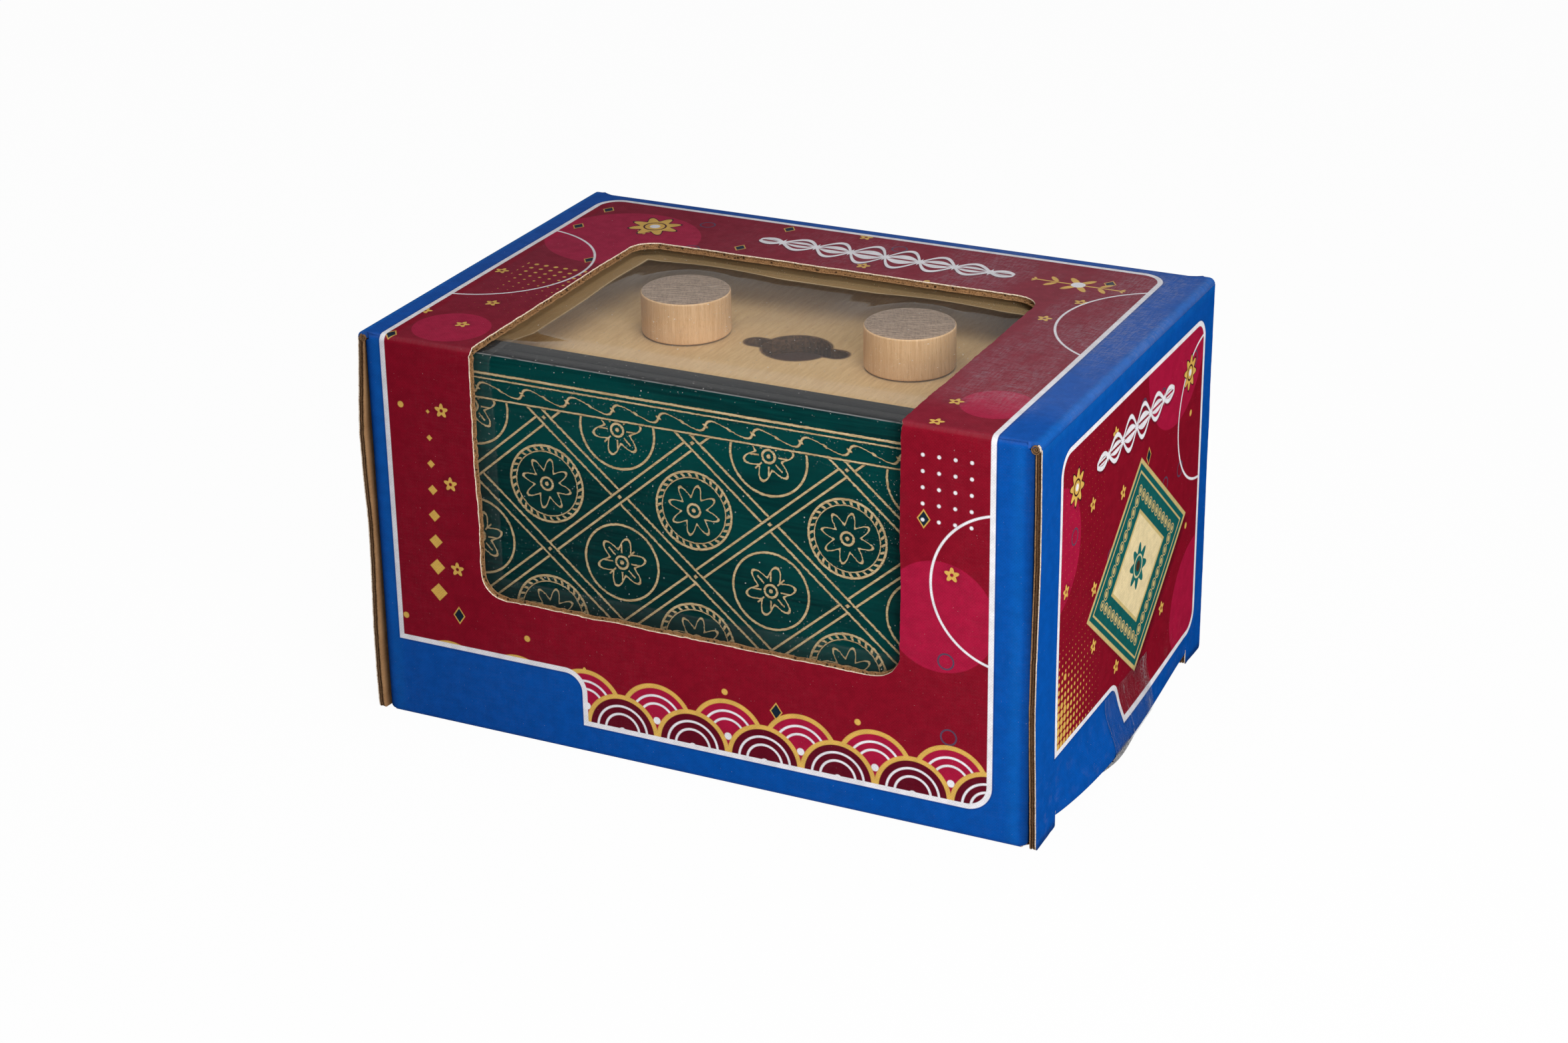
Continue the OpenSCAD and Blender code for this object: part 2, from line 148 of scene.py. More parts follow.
class StudioLook(bpy.types.PropertyGroup):
    """Lamps, ambient light and lens."""

    key: amount("Key lamp", "Power of the lamp at the right front, in watts", 3.1, 100.0)
    fill: amount("Fill lamp", "Power of the lamp at the left, in watts", 0.2, 100.0)
    top: amount("Top lamp", "Power of the lamp above, in watts", 2.5, 100.0)
    ambient: amount("Ambient", "Brightness of the studio round the object", 0.15, 10.0)
    lens: amount("Lens", "Focal length on a 36 mm wide sensor, in millimetres", 72.1, 500.0)


# ---------------------------------------------------------------- material kit


def maths(operation, turned=False):
    """A method that adds a Math node to a wire and, where there is one, another value."""

    def method(self, other=None):
        pair = [self] if other is None else [self, other]
        return self.finish.maths(operation, *(reversed(pair) if turned else pair))

    return method


class Wire:
    """A socket in a material's node tree; arithmetic on it adds Math nodes."""

    __add__ = __radd__ = maths("ADD")
    __sub__ = maths("SUBTRACT")
    __rsub__ = maths("SUBTRACT", turned=True)
    __mul__ = __rmul__ = maths("MULTIPLY")
    __truediv__ = maths("DIVIDE")
    __rtruediv__ = maths("DIVIDE", turned=True)
    __pow__ = maths("POWER")
    __mod__ = maths("FLOORED_MODULO")
    __abs__ = maths("ABSOLUTE")
    __lt__ = maths("LESS_THAN")
    __gt__ = maths("GREATER_THAN")
    floor = maths("FLOOR")
    sin = maths("SINE")
    root = maths("SQRT")
    least = maths("MINIMUM")
    most = maths("MAXIMUM")
    angle = maths("ARCTAN2")

    def __init__(self, finish, socket):
        self.finish = finish
        self.socket = socket

    def __neg__(self):
        return self * -1.0

    def of(self, output):
        return Wire(self.finish, self.socket.node.outputs[output])

    def ramp(self, low, high, kind="SMOOTHSTEP"):
        """0 at low, 1 at high."""
        values = {"Value": self, "From Min": low, "From Max": high}
        return self.finish.node("ShaderNodeMapRange", {"interpolation_type": kind}, values)

    def slope(self, low, high):
        """0 at low, 1 at high, in a straight line between them."""
        return self.ramp(low, high, "LINEAR")

    def fill(self, soft=0.12):
        """1 inside a shape, from the distance to its edge in millimetres."""
        return self.slope(soft, -soft)

    def line(self, half, soft=0.1):
        """1 on a shape's edge, half a line's width to each side."""
        return (abs(self) - half).slope(soft, -soft)

    def fold(self, pitch):
        """Distance from the nearest multiple of a pitch, with its sign."""
        return (self + pitch / 2) % pitch - pitch / 2


class Finish:
    """A material, or the world, under construction; its colour is built up in coats."""

    def __init__(self, name, owner=None):
        self.owner = owner or bpy.data.materials.new(name)
        self.owner.use_nodes = True
        self.tree = self.owner.node_tree
        self.tree.nodes.clear()
        self.colour = None

    def node(self, kind, settings=None, values=None):
        made = self.tree.nodes.new(kind)
        for key, value in (settings or {}).items():
            setattr(made, key, value)
        for key, value in (values or {}).items():
            if isinstance(value, Wire):
                self.tree.links.new(value.socket, made.inputs[key])
            elif made.inputs[key].type == "RGBA":
                made.inputs[key].default_value = tuple(value) + (1.0,)
            else:
                made.inputs[key].default_value = value
        return Wire(self, made.outputs[0]) if made.outputs else made

    def maths(self, operation, *values):
        return self.node("ShaderNodeMath", {"operation": operation}, dict(enumerate(values)))

    def vectors(self, operation, values):
        return self.node("ShaderNodeVectorMath", {"operation": operation}, values)

    def object_mm(self):
        """Place on the object in millimetres."""
        place = self.node("ShaderNodeTexCoord").of("Object")
        return self.vectors("SCALE", {0: place, "Scale": 1 / MM})

    def blank_mm(self):
        """Place across and along the flat blank in millimetres, from the piece's own map."""
        place = self.node("ShaderNodeUVMap", {"uv_map": "Flat"})
        return self.split(self.vectors("SCALE", {0: place, "Scale": 1 / MM}))[:2]

    def split(self, vector):
        parts = self.node("ShaderNodeSeparateXYZ", {}, {0: vector})
        return parts.of("X"), parts.of("Y"), parts.of("Z")

    def join(self, x, y, z=0.0):
        return self.node("ShaderNodeCombineXYZ", {}, {0: x, 1: y, 2: z})

    def grain(self, vector, scale, detail=3.0, rough=0.5, twist=0.0):
        values = {"Vector": vector, "Scale": scale, "Detail": detail, "Roughness": rough,
                  "Distortion": twist}
        return self.node("ShaderNodeTexNoise", {}, values)

    def streaks(self, vector, factors, detail=3.0, rough=0.5, twist=0.0, scale=1.0):
        """Grain that is drawn out along the axes with the smaller factors."""
        drawn = self.vectors("MULTIPLY", {0: vector, 1: factors})
        return self.grain(drawn, scale, detail, rough, twist)

    def cells(self, vector, scale):
        """Distance to the middle of the nearest random cell; its colour is the cell's own."""
        return self.node("ShaderNodeTexVoronoi", {}, {"Vector": vector, "Scale": scale})

    def mix(self, factor, low, high, blend="MIX"):
        settings = {"data_type": "RGBA", "blend_type": blend}
        made = self.node("ShaderNodeMix", settings, {0: factor, 6: low, 7: high})
        return Wire(self, made.socket.node.outputs[2])

    def coat(self, mask, colour):
        """Lays a colour over what is there, where the mask is 1."""
        self.colour = self.mix(mask, self.colour, colour)

    def surface(self, **sockets):
        """The main shader; a socket's name is written with underscores."""
        values = {name.replace("_", " "): value for name, value in sockets.items()}
        return self.node("ShaderNodeBsdfPrincipled", {}, values)

    def blend(self, factor, low, high):
        return self.node("ShaderNodeMixShader", {}, {0: factor, 1: low, 2: high})

    def relief(self, height):
        """A bump from a height in millimetres."""
        values = {"Height": height, "Distance": MM, "Strength": 1.0}
        return self.node("ShaderNodeBump", {}, values)

    def done(self, shader, end="ShaderNodeOutputMaterial"):
        self.node(end, {}, {"Surface": shader})
        return self.owner

    def coated(self, rough, height, **sockets):
        """Ends a plain material with its colour, its roughness and its relief."""
        return self.done(self.surface(
            Base_Color=self.colour, Roughness=rough, Normal=self.relief(height), **sockets))


def far(x, y):
    """Distance from the origin of two coordinates."""
    return (x * x + y * y).root()


def disc(x, y, middle, radius):
    return far(x - middle[0], y - middle[1]) - radius


def slab(x, y, low, high, radius):
    """Distance to a rounded rectangle between two corners."""
    across = abs(x - (low[0] + high[0]) / 2) - ((high[0] - low[0]) / 2 - radius)
    along = abs(y - (low[1] + high[1]) / 2) - ((high[1] - low[1]) / 2 - radius)
    outside = far(across.most(0.0), along.most(0.0))
    return outside + across.most(along).least(0.0) - radius


# ---------------------------------------------------------------- printed board

# Blue of the painted highlights along the folds.
PAINTED_HIGHLIGHT_BLUE = screen(20, 124, 210)
DEEP_WINE = screen(60, 14, 30)


def small_motifs(finish, look, x, y, pitch, seed):
    """Flowers, lozenges, dots and rings strewn over a printed field, one to a cell."""
    column = (x / pitch).floor()
    row = (y / pitch).floor()
    place = finish.join(column, row, seed)
    dice = finish.node("ShaderNodeTexWhiteNoise", {"noise_dimensions": "3D"}, {"Vector": place})
    first, second, kind = finish.split(dice.of("Color"))
    own_x = x - (column + 0.5 + (first - 0.5) * 0.6) * pitch
    own_y = y - (row + 0.5 + (second - 0.5) * 0.6) * pitch
    away = far(own_x, own_y)
    petals = away - 1.35 - (own_y.angle(own_x) * 5.0).sin() * 0.4
    flower = petals.fill(0.1) * (1.0 - (away - 0.42).fill(0.1)) * (kind < 0.3)
    lozenge = (abs(own_x) * 0.82 + abs(own_y) * 0.57) - 1.15
    has_lozenge = (kind > 0.3) * (kind < 0.46)
    dot = (away - 0.75).fill() * (kind > 0.46) * (kind < 0.64)
    ring = (away - 1.8).line(0.2) * (kind > 0.64) * (kind < 0.76)
    finish.coat((away - 2.1).fill(0.9) * (kind < 0.3) * 0.35, look.wine)
    finish.coat(flower.most(dot), look.gold)
    finish.coat(lozenge.fill() * has_lozenge, screen(22, 38, 52))
    finish.coat(lozenge.line(0.12) * has_lozenge, look.gold)
    finish.coat(ring, screen(84, 66, 88))


def halftone(x, y, pitch, radius):
    """A screen of dots; the radius may vary over the surface."""
    return (far(x.fold(pitch), y.fold(pitch)) - radius).fill()


def between(x, low, high):
    return (x > low) * (x < high)


def laminated(finish, x, y, scuff_and_sheen, fold_wear_and_highlight=0.0, rough=0.42):
    """Ends a print: linen weave, scuffs with a painted white sheen over them, worn folds with a painted
    highlight, and specks of dust over its colour.
    """
    place = finish.join(x, y)
    cloud = finish.streaks(place, (0.05, 0.02, 1.0), 4.0, 0.6)
    scrape = finish.streaks(place, (0.3, 2.4, 1.0), 6.0, 0.8, 0.5)
    upright = finish.streaks(place, (2.2, 0.25, 1.0), 4.0, 0.8, 0.5)
    scuff = (scrape + upright * 0.6).ramp(0.7, 0.98) * cloud.ramp(0.36, 0.6) * scuff_and_sheen
    weave = (x * 9.0).sin() * (y * 9.0).sin()
    thread = finish.streaks(place, (3.4, 3.4, 1.0), 2.0, 0.6)
    specks = finish.grain(place, 1.7, 2.0, 0.7).ramp(0.71, 0.76)
    mottle = finish.grain(place, 0.35, 3.0, 0.6)
    depth = weave * 0.06 - thread.ramp(0.42, 0.62) * 0.09 - mottle.ramp(0.3, 0.7) * 0.14 + 1.0
    finish.colour = finish.mix(1.0, finish.colour, finish.join(depth, depth, depth), "MULTIPLY")
    finish.coat(scuff * 0.34, screen(150, 146, 156))
    # Worn folds, lighter in part as a painted highlight.
    finish.coat(fold_wear_and_highlight * (0.5 + thread * 0.9), screen(196, 190, 196))
    # Dust specks, and a painted white sheen over the scuffs.
    finish.coat(specks * 0.16 + scuff_and_sheen * 0.02, WHITE)
    hills = finish.grain(place, 0.06, 2.0, 0.5)
    height = weave * 0.006 + flute_shade(y) * 0.006 + hills * 0.4 + scrape * 0.006
    return finish.coated(rough + scuff * 0.3 + cloud * 0.08, height, Specular_IOR_Level=0.0)


def flute_shade(y):
    """The waves of the fluting as they show through the liner."""
    return (y * (2 * math.pi / 3.3)).sin()


def frame_line(finish, look, field):
    """The white line round a printed field, and the blue outside it."""
    finish.colour = finish.mix(field.fill(0.05), look.blue, finish.colour)
    finish.coat(field.line(0.62, 0.08), look.white)
    finish.coat((field - 0.85).line(0.1, 0.1) * 0.5, screen(20, 40, 90))


def sprig(finish, look, x, y, middle, reach):
    """A gold stem with paired leaves that shrink towards its two tips."""
    along = abs(x - middle[0])
    up = abs(y - middle[1])
    swell = (along / reach * -1.0 + 1.0).most(0.0) ** 0.35
    over = (along - up * 0.7).fold(5.2)
    leaf = far(over, (up - swell * 2.4) * 0.52) - swell * 1.05
    finish.coat(leaf.fill().most(up.line(0.28)) * (along - reach).fill(), look.gold)
    finish.coat((far(along, up) - 1.7).fill(), look.white)


def braid(finish, look, x, y, middle, reach, half):
    """A white band of two crossed waves with a ribbed leaf in each loop."""
    along = x - middle[0]
    up = y - middle[1]
    swell = (abs(along) / reach * -1.0 + 1.0).most(0.0) ** 0.5
    turn = (along * (math.pi / 9.0)).sin() * half * swell
    inside = (abs(along) - reach).fill()
    strands = (abs(up) - abs(turn)).line(0.3 + 0.06 * half, 0.12)
    rib = (abs(up) - 0.07 * half).fill()
    leaf = (abs(up) - abs(turn) * 0.5).fill() * (abs(turn) > 0.8) * (1.0 - rib)
    knot = (abs(along.fold(9.0)) ** 0.5 + abs(up) ** 0.5) ** 2.0 - 0.42 * half
    shade = (abs(up + 0.5) - abs(turn)).line(0.3 + 0.08 * half, 0.2) * inside
    finish.coat(shade * 0.5, screen(50, 10, 24))
    finish.coat(strands.most(leaf).most(knot.fill()) * inside, look.white)


def fans(finish, look, x, y, foot):
    """Two rows of ringed fans, the nearer row over the farther."""
    for shift, rise, fill in ((9.0, 4.6, look.crimson), (0.0, 0.0, look.wine)):
        away = far((x - shift).fold(18.0), y - foot - rise)
        rings = away.line(0.9).most((away - 4.3).line(0.28)).most((away - 6.3).line(0.28))
        finish.coat((away - 8.7).fill(), fill)
        finish.coat(rings, look.white)
        finish.coat((away - 8.7).line(0.55), look.gold)


def rosette(finish, look, x, y, middle, reach):
    """A gold flower of eight petals with a dark edge and a white eye."""
    over = x - middle[0]
    up = y - middle[1]
    away = far(over, up)
    edge = away - reach * 0.8 - (over.angle(up) * 8.0).sin() * reach * 0.2
    finish.coat((edge - 0.5).fill(), DEEP_WINE)
    finish.coat(edge.fill(), look.gold)
    finish.coat((away - reach * 0.42).line(0.22), DEEP_WINE)
    finish.coat((away - reach * 0.2).fill(), look.white)


def lozenge_badge(finish, x, y, middle):
    """A lying green lozenge with a cream heart, gold lines, beads and a flower."""
    over = x - middle[0]
    up = y - middle[1]
    edge = (abs(over) * 26.0 + abs(up) * 32.0) / 41.2 - 20.2
    drop = (abs(over - 1.4) * 26.0 + abs(up + 1.8) * 32.0) / 41.2 - 20.2
    away = far(over, up)
    gold = edge.line(0.5).most((edge + 2.1).line(0.25)).most((edge + 9.6).line(0.4))
    beads = far((abs(over) * 32.0 - abs(up) * 26.0).fold(123.6) / 41.2, edge + 5.8)
    gold = gold.most((beads - 0.75).fill()).most((beads - 1.25).line(0.14))
    petals = away - 4.5 - (over.angle(up) * 8.0).sin() * 1.1
    finish.coat(drop.ramp(1.6, -1.6) * 0.6, screen(40, 8, 20))
    finish.coat(edge.fill(), screen(20, 92, 90))
    finish.coat((edge + 9.6).fill(), screen(236, 216, 168))
    finish.coat(gold, screen(206, 184, 122))
    finish.coat(petals.fill(), screen(30, 104, 100))
    finish.coat((away - 2.6).line(0.24), screen(214, 206, 158))
    finish.coat((away - 1.3).fill(), screen(74, 50, 36))


def sleeve_print(look):
    """The print of the four panels, laid out on the flat blank, with painted highlights, sheen and
    shade over it.
    """
    finish = Finish("printed_panels")
    x, s = finish.blank_mm()
    top, back, foot, glue = (fold / MM for fold in FOLDS[1:])
    finish.colour = look.field
    for middle, radius in (((-58.0, 176.0), 19.0), ((-64.0, 106.0), 9.0),
                           ((66.0, 112.0), 8.0), ((60.0, 52.0), 13.0)):
        finish.coat(disc(x, s, middle, radius).fill(), look.crimson)
    small_motifs(finish, look, x, s, 17.0, 3.0)
    chain = abs(x + 65.0) + abs((s - 34.0).fold(6.4)) - (82.0 - s).slope(-10.0, 50.0) * 2.3
    finish.coat(chain.fill() * between(s, 31.0, 82.0), look.gold)
    dots = halftone(x, s, 2.6, (s - 150.0).slope(-22.0, 14.0) * 0.9)
    finish.coat(dots * between(x, -70.0, -54.0) * between(s, 118.0, 152.0), look.gold)
    dots = halftone(x - 0.6, s, 3.7, 0.42)
    finish.coat(dots * between(x, 55.0, 69.0) * between(s, 72.0, 90.0), look.white)
    rings = disc(x, s, (76.0, 60.0), 18.0).line(0.28)
    for middle in ((-80.0, 150.0), (84.0, 168.0)):
        rings = rings.most(disc(x, s, middle, 25.0).line(0.28))
    finish.coat(rings, look.white)
    field = finish.colour
    fans(finish, look, x, s, 7.9)
    finish.coat((s - 24.0) > 0.0, field)
    braid(finish, look, x, s, (6.0, 188.6), 33.0, 6.6)
    rosette(finish, look, x, s, (-55.0, 187.0), 6.4)
    sprig(finish, look, x, s, (55.0, 188.5), 11.5)
    inside = slab(x, s, (-76.0, 7.9), (72.0, back - 4.4), 5.6)
    notch = slab(x, s, (-120.0, -30.0), (-27.5, 20.6), 5.0)
    frame_line(finish, look, inside.most(-notch))
    front = finish.colour
    finish.colour = look.field
    finish.coat(disc(x, s, (30.0, back + 60.0), 34.0).fill(), look.crimson)
    finish.coat(disc(x, s, (-60.0, back + 14.0), 30.0).fill(), look.wine)
    small_motifs(finish, look, x, s, 19.0, 8.0)
    braid(finish, look, x, s, (0.0, back + 22.0), 45.0, 5.6)
    frame_line(finish, look, slab(x, s, (-74.0, back + 8.0), (74.0, foot - 8.0), 5.6))
    finish.colour = finish.mix((s - back - 2.0) > 0.0, front, finish.colour)
    finish.coat((s - foot + 3.0) > 0.0, look.blue)
    fold = abs(s)
    for line in (top, back, foot, glue):
        fold = fold.least(abs(s - line))
    end = abs(x) - DUST_LOW.x / MM
    # Painted highlight on the front panel just before each side curl.
    edge = end.ramp(-4.4, -1.8) * end.ramp(0.2, -1.4) * (s < top - 1.0)
    finish.coat(edge * 0.14, screen(24, 124, 206))
    # Painted sheen: a grey glare laid over the top panel, growing towards the back.
    painted_top_sheen = (s - top).ramp(-0.5, 1.5) * (s - back).ramp(1.5, -0.5)
    painted_top_sheen = painted_top_sheen * ((s - top).ramp(0.0, 60.0) * 0.12 + 0.08 + (-end).ramp(5.4, 6.4) * 0.08)
    finish.coat(painted_top_sheen, screen(74, 76, 88))
    # Painted shade: the panels darken towards the left.
    finish.coat(x.ramp(-10.0, -70.0) * 0.14, screen(30, 0, 14))
    # Painted highlight along the top panel's folds over the ends.
    painted_crest_highlight = (abs(end - 2.4) - 0.9).ramp(0.9, -0.4) * between(s, top, back)
    finish.coat(painted_crest_highlight * 0.2, PAINTED_HIGHLIGHT_BLUE)
    # Painted shade where the front panel turns into each side curl.
    finish.coat(end.ramp(-0.9, 1.6) * (s < top - 1.0) * 0.6, screen(6, 14, 40))
    # Folds worn pale in streaks, in part a painted highlight; the scuffs on the top also carry a
    # painted sheen.
    fold_wear_and_highlight = fold.ramp(1.1, 0.3) * finish.streaks(finish.join(x, s), (2.6, 0.1, 1.0), 3.0, 0.7)
    scuff_and_sheen = (s - top).ramp(8.0, 24.0) * (s - back).ramp(4.0, -10.0) * (x - 20.0).ramp(-70.0, 40.0)
    return laminated(finish, x, s, scuff_and_sheen * 0.95 + 0.05, fold_wear_and_highlight * 0.05)


def end_print(look):
    """The print of an end flap, laid out on the flap's own width and height, with a painted highlight
    along its top fold.
    """
    finish = Finish("printed_end")
    x, y = finish.blank_mm()
    finish.colour = look.field
    for middle, radius in (((30.0, 88.0), 20.0), ((-46.0, 66.0), 15.0), ((48.0, 16.0), 17.0)):
        finish.coat(disc(x, y, middle, radius).fill(), look.crimson)
    small_motifs(finish, look, x, y, 15.0, 5.0)
    fade = (-18.0 - x).slope(0.0, 22.0) * (44.0 - y).slope(0.0, 18.0)
    finish.coat(halftone(x, y, 1.9, fade * 0.85) * (x < -16.0), look.gold)
    finish.coat(disc(x, y, (50.0, 66.0), 18.0).line(0.3), look.white)
    lozenge_badge(finish, x, y, (7.0, 42.0))
    braid(finish, look, x, y, (3.0, 77.6), 25.0, 4.3)
    for middle in ((-34.0, 77.6), (39.0, 77.6)):
        rosette(finish, look, x, y, middle, 4.2)
    inside = slab(x, y, (-43.0, 8.6), (48.6, 87.8), 5.0)
    notch = slab(x, y, (-90.0, -30.0), (-4.2, 17.8), 4.6)
    frame_line(finish, look, inside.most(-notch))
    finish.coat((y - 1.2).ramp(1.2, -0.8) * 0.5, screen(18, 22, 46))
    # Painted highlight along the flap's top fold.
    finish.coat((FLAP_HIGH.z / MM - y).ramp(2.4, 0.6) * 0.14, PAINTED_HIGHLIGHT_BLUE)
    wear = (y - 12.0).ramp(8.0, -4.0) * finish.grain(finish.join(x, y), 0.3, 4.0).ramp(0.5, 0.7)
    return laminated(finish, x, y, wear * 0.2 + 0.03, 0.0, 0.38)


def bleed_print(look):
    """The blue bleed that runs on to a dust flap and fades into plain coated liner."""
    finish = Finish("bleed_print")
    x, y = finish.blank_mm()
    border = (HALF_D / MM - abs(x)).slope(9.0, 9.4)
    finish.colour = finish.mix(border, look.blue, look.paper)
    return laminated(finish, x, y, 0.05)


def kraft_paper(look):
    """The uncoated inside of the board: fibres, flecks and the shadow of the fluting."""
    finish = Finish("kraft_inside")
    x, y = finish.blank_mm()
    place = finish.join(x, y)
    fibres = finish.streaks(place, (0.6, 2.2, 1.0), 6.0, 0.7)
    cloud = finish.grain(place, 0.12, 3.0)
    flecks = finish.grain(place, 3.0, 2.0, 0.6).ramp(0.66, 0.72)
    finish.colour = finish.mix(fibres.ramp(0.3, 0.7), screen(150, 108, 68), look.kraft)
    finish.coat(cloud.ramp(0.35, 0.7) * 0.35, screen(196, 152, 106))
    finish.coat(flecks * 0.5, screen(98, 68, 44))
    return finish.coated(0.85, fibres * 0.03 + flute_shade(y) * 0.02)


def cut_paper(name, light, dark, pits=0.0):
    """Torn or cut paper at the edge of the board."""
    finish = Finish(name)
    place = finish.object_mm()
    rough = finish.grain(place, 3.2, 4.0, 0.7)
    finish.colour = finish.mix(rough.ramp(0.36, 0.6), dark, light)
    finish.coat(finish.grain(place, 0.8, 3.0, 0.6).ramp(0.52, 0.7) * 0.35, dark)
    if pits:
        holes = finish.cells(place, 0.8).of("Distance") + rough * 0.3
        finish.coat((holes - 0.42).ramp(0.06, -0.08) * pits, screen(50, 34, 24))
    return finish.coated(0.9, rough * 0.08, Specular_IOR_Level=0.05)


# ---------------------------------------------------------------- film and tape


def clear_film(look):
    """Clear film: mirrored at a glance, with dust and a faint haze, painted shade towards the back and
    painted reflections near the window's edges.
    """
    finish = Finish("clear_film")
    place = finish.object_mm()
    x, y, z = finish.split(place)
    motes = []
    for scale, part, grow, soft, rare, strength in (
            (0.55, 0, 0.09, 0.05, 0.5, 0.7), (1.6, 1, 0.16, 0.08, 0.74, 0.5)):
        cell = finish.cells(place, scale)
        lot = finish.split(cell.of("Color"))[part]
        motes.append((cell.of("Distance") - grow * lot).ramp(soft, -0.02) * (lot > rare) * strength)
    dust = motes[0].most(motes[1])
    hairs = finish.streaks(place, (0.25, 1.6, 1.0), 5.0, 0.75, 1.2)
    cloud = finish.grain(place, 0.045, 4.0, 0.6)
    # Painted reflection edge: behind a diagonal line the film is hazier.
    shade = (y - x * 0.3 + 5.0 + cloud * 8.0).ramp(0.0, 6.0)
    from_left = x + look.window_left / MM
    from_back = (look.window_reach - DEPTH / 2) / MM - y
    from_edge = from_left.least(from_back) + hairs * 0.4
    on_top = (y - LINER_HIGH.y / MM).ramp(-2.0, 2.0)
    # Painted shade: the lid seen through the film darkens towards the back.
    deep = (y + cloud * 14.0).ramp(-26.0, 34.0) * on_top
    inside = -slab(x, z, (-look.window_left / MM, look.window_foot / MM), (60.0, 200.0), 5.0)
    # Painted reflection on the front part of the film: a grey line 4 mm inside the window's edge and a
    # faint band at the edge.
    painted_front_reflection = (inside - 4.0).line(0.14, 0.3) * 0.14 + inside.ramp(4.0, 3.6) * 0.05
    # Painted reflection of the board's cut edge and kraft underside: a band along the window's left and
    # back edges, with a pale line at its inner side.
    mirrored = from_edge.ramp(4.6, 4.2) * on_top
    painted_cut_reflection = (from_edge - 4.4).line(0.3, 0.25) * (cloud + 0.3) * on_top
    haze = cloud.ramp(0.42, 0.75) * 0.006 + hairs.ramp(0.62, 0.8) * 0.014 + shade * 0.035
    haze = haze + mirrored * 0.2 + painted_cut_reflection * 0.25 + deep * 0.16 + painted_front_reflection * (1.0 - on_top)
    # Darker veil tone of the painted shade towards the back.
    finish.colour = finish.mix(deep, screen(128, 126, 122), screen(82, 70, 58))
    finish.coat(mirrored, screen(196, 164, 118))
    finish.coat(painted_cut_reflection, screen(222, 196, 156))
    finish.coat(dust, screen(240, 238, 232))
    veil = finish.surface(Base_Color=finish.colour, Roughness=0.5)
    gloss = finish.node("ShaderNodeBsdfGlossy", {}, {"Color": WHITE, "Roughness": 0.04})
    clear = finish.node("ShaderNodeBsdfTransparent", {}, {"Color": (0.985, 0.985, 0.98)})
    glance = finish.node("ShaderNodeFresnel", {}, {"IOR": 1.5})
    body = finish.blend((glance - 0.041).most(0.0) * 0.36, clear, gloss)
    return finish.done(finish.blend(haze.most(dust * 0.8), body, veil))


def clear_tape():
    """Clear parcel tape, drawn into fine upright strings and clouded where it turns under."""
    finish = Finish("clear_tape")
    place = finish.object_mm()
    x, y, z = finish.split(place)
    strings = finish.streaks(place, (1.0, 1.4, 0.05), 2.0, 0.5)
    blisters = finish.streaks(place, (0.5, 0.5, 0.35), 3.0, 0.6)
    bubbles = finish.streaks(place, (2.0, 2.0, 1.2), 4.0, 0.7).ramp(0.42, 0.6)
    low = TAPE_LOW.y / MM
    high = TAPE_HIGH.y / MM
    creased = (y - low * 0.55 - high * 0.45).line(0.14, 0.2)
    creased = creased.most((y - low - 0.5).line(0.12, 0.2) * 0.5)
    pulled = creased.most((y - high + 2.6).line(1.2, 1.6) * 0.7) * bubbles
    finish.colour = finish.mix(strings.ramp(0.4, 0.6), screen(70, 70, 74), screen(128, 129, 134))
    finish.coat(blisters.ramp(0.55, 0.62), screen(78, 70, 64))
    finish.coat(pulled, screen(206, 208, 214))
    veil = finish.surface(
        Base_Color=finish.colour, Roughness=0.2, Normal=finish.relief(strings * 0.16 + blisters * 0.2),
        Specular_IOR_Level=0.4)
    clear = finish.node("ShaderNodeBsdfTransparent", {}, {"Color": (0.97, 0.975, 0.98)})
    glance = finish.node("ShaderNodeFresnel", {}, {"IOR": 1.45})
    turned = (y - low * 0.6 - high * 0.4).ramp(4.0, -4.0) * (blisters.ramp(0.4, 0.6) * 0.35 + 0.45)
    turned = turned * z.ramp(4.4, 3.0)
    cover = strings.ramp(0.56, 0.7) * 0.04 + pulled * 0.45 + glance * 0.2 + turned + 0.03
    return finish.done(finish.blend(cover, clear, veil))


# ---------------------------------------------------------------- wood and metal


def ply_grain(finish, place, along=(0.035, 1.0, 1.0)):
    """Streaks and pores that run along a board, and a slow cloud."""
    fine = tuple(4.5 * part for part in along)
    return (finish.streaks(place, along, 6.0, 0.62, 0.4, scale=1.3),
            finish.streaks(place, fine, 3.0, 0.7, scale=1.6),
            finish.streaks(place, (0.012, 0.05, 0.05), 3.0, 0.5, 0.8))


def lattice(x, z, wide, tall):
    """Mask of two sets of double bands that pass over and under each other, knotted between."""
    pitch = wide * tall / math.hypot(wide, tall)
    rise = x / wide + z / tall
    fall = x / wide - z / tall
    from_rise = abs(rise.fold(1.0)) * pitch
    from_fall = abs(fall.fold(1.0)) * pitch
    over = abs(((rise + 0.5).floor() + (fall + 0.5).floor()) % 2.0) > 0.5
    bands = (from_rise - 1.2).line(0.31, 0.08) * (1.0 - (from_fall - 1.45).fill(0.08) * over)
    bands = bands.most(
        (from_fall - 1.2).line(0.31, 0.08) * (1.0 - (from_rise - 1.45).fill(0.08) * (1.0 - over)))
    return bands.most((from_rise.most(from_fall) - 0.45).fill(0.1))


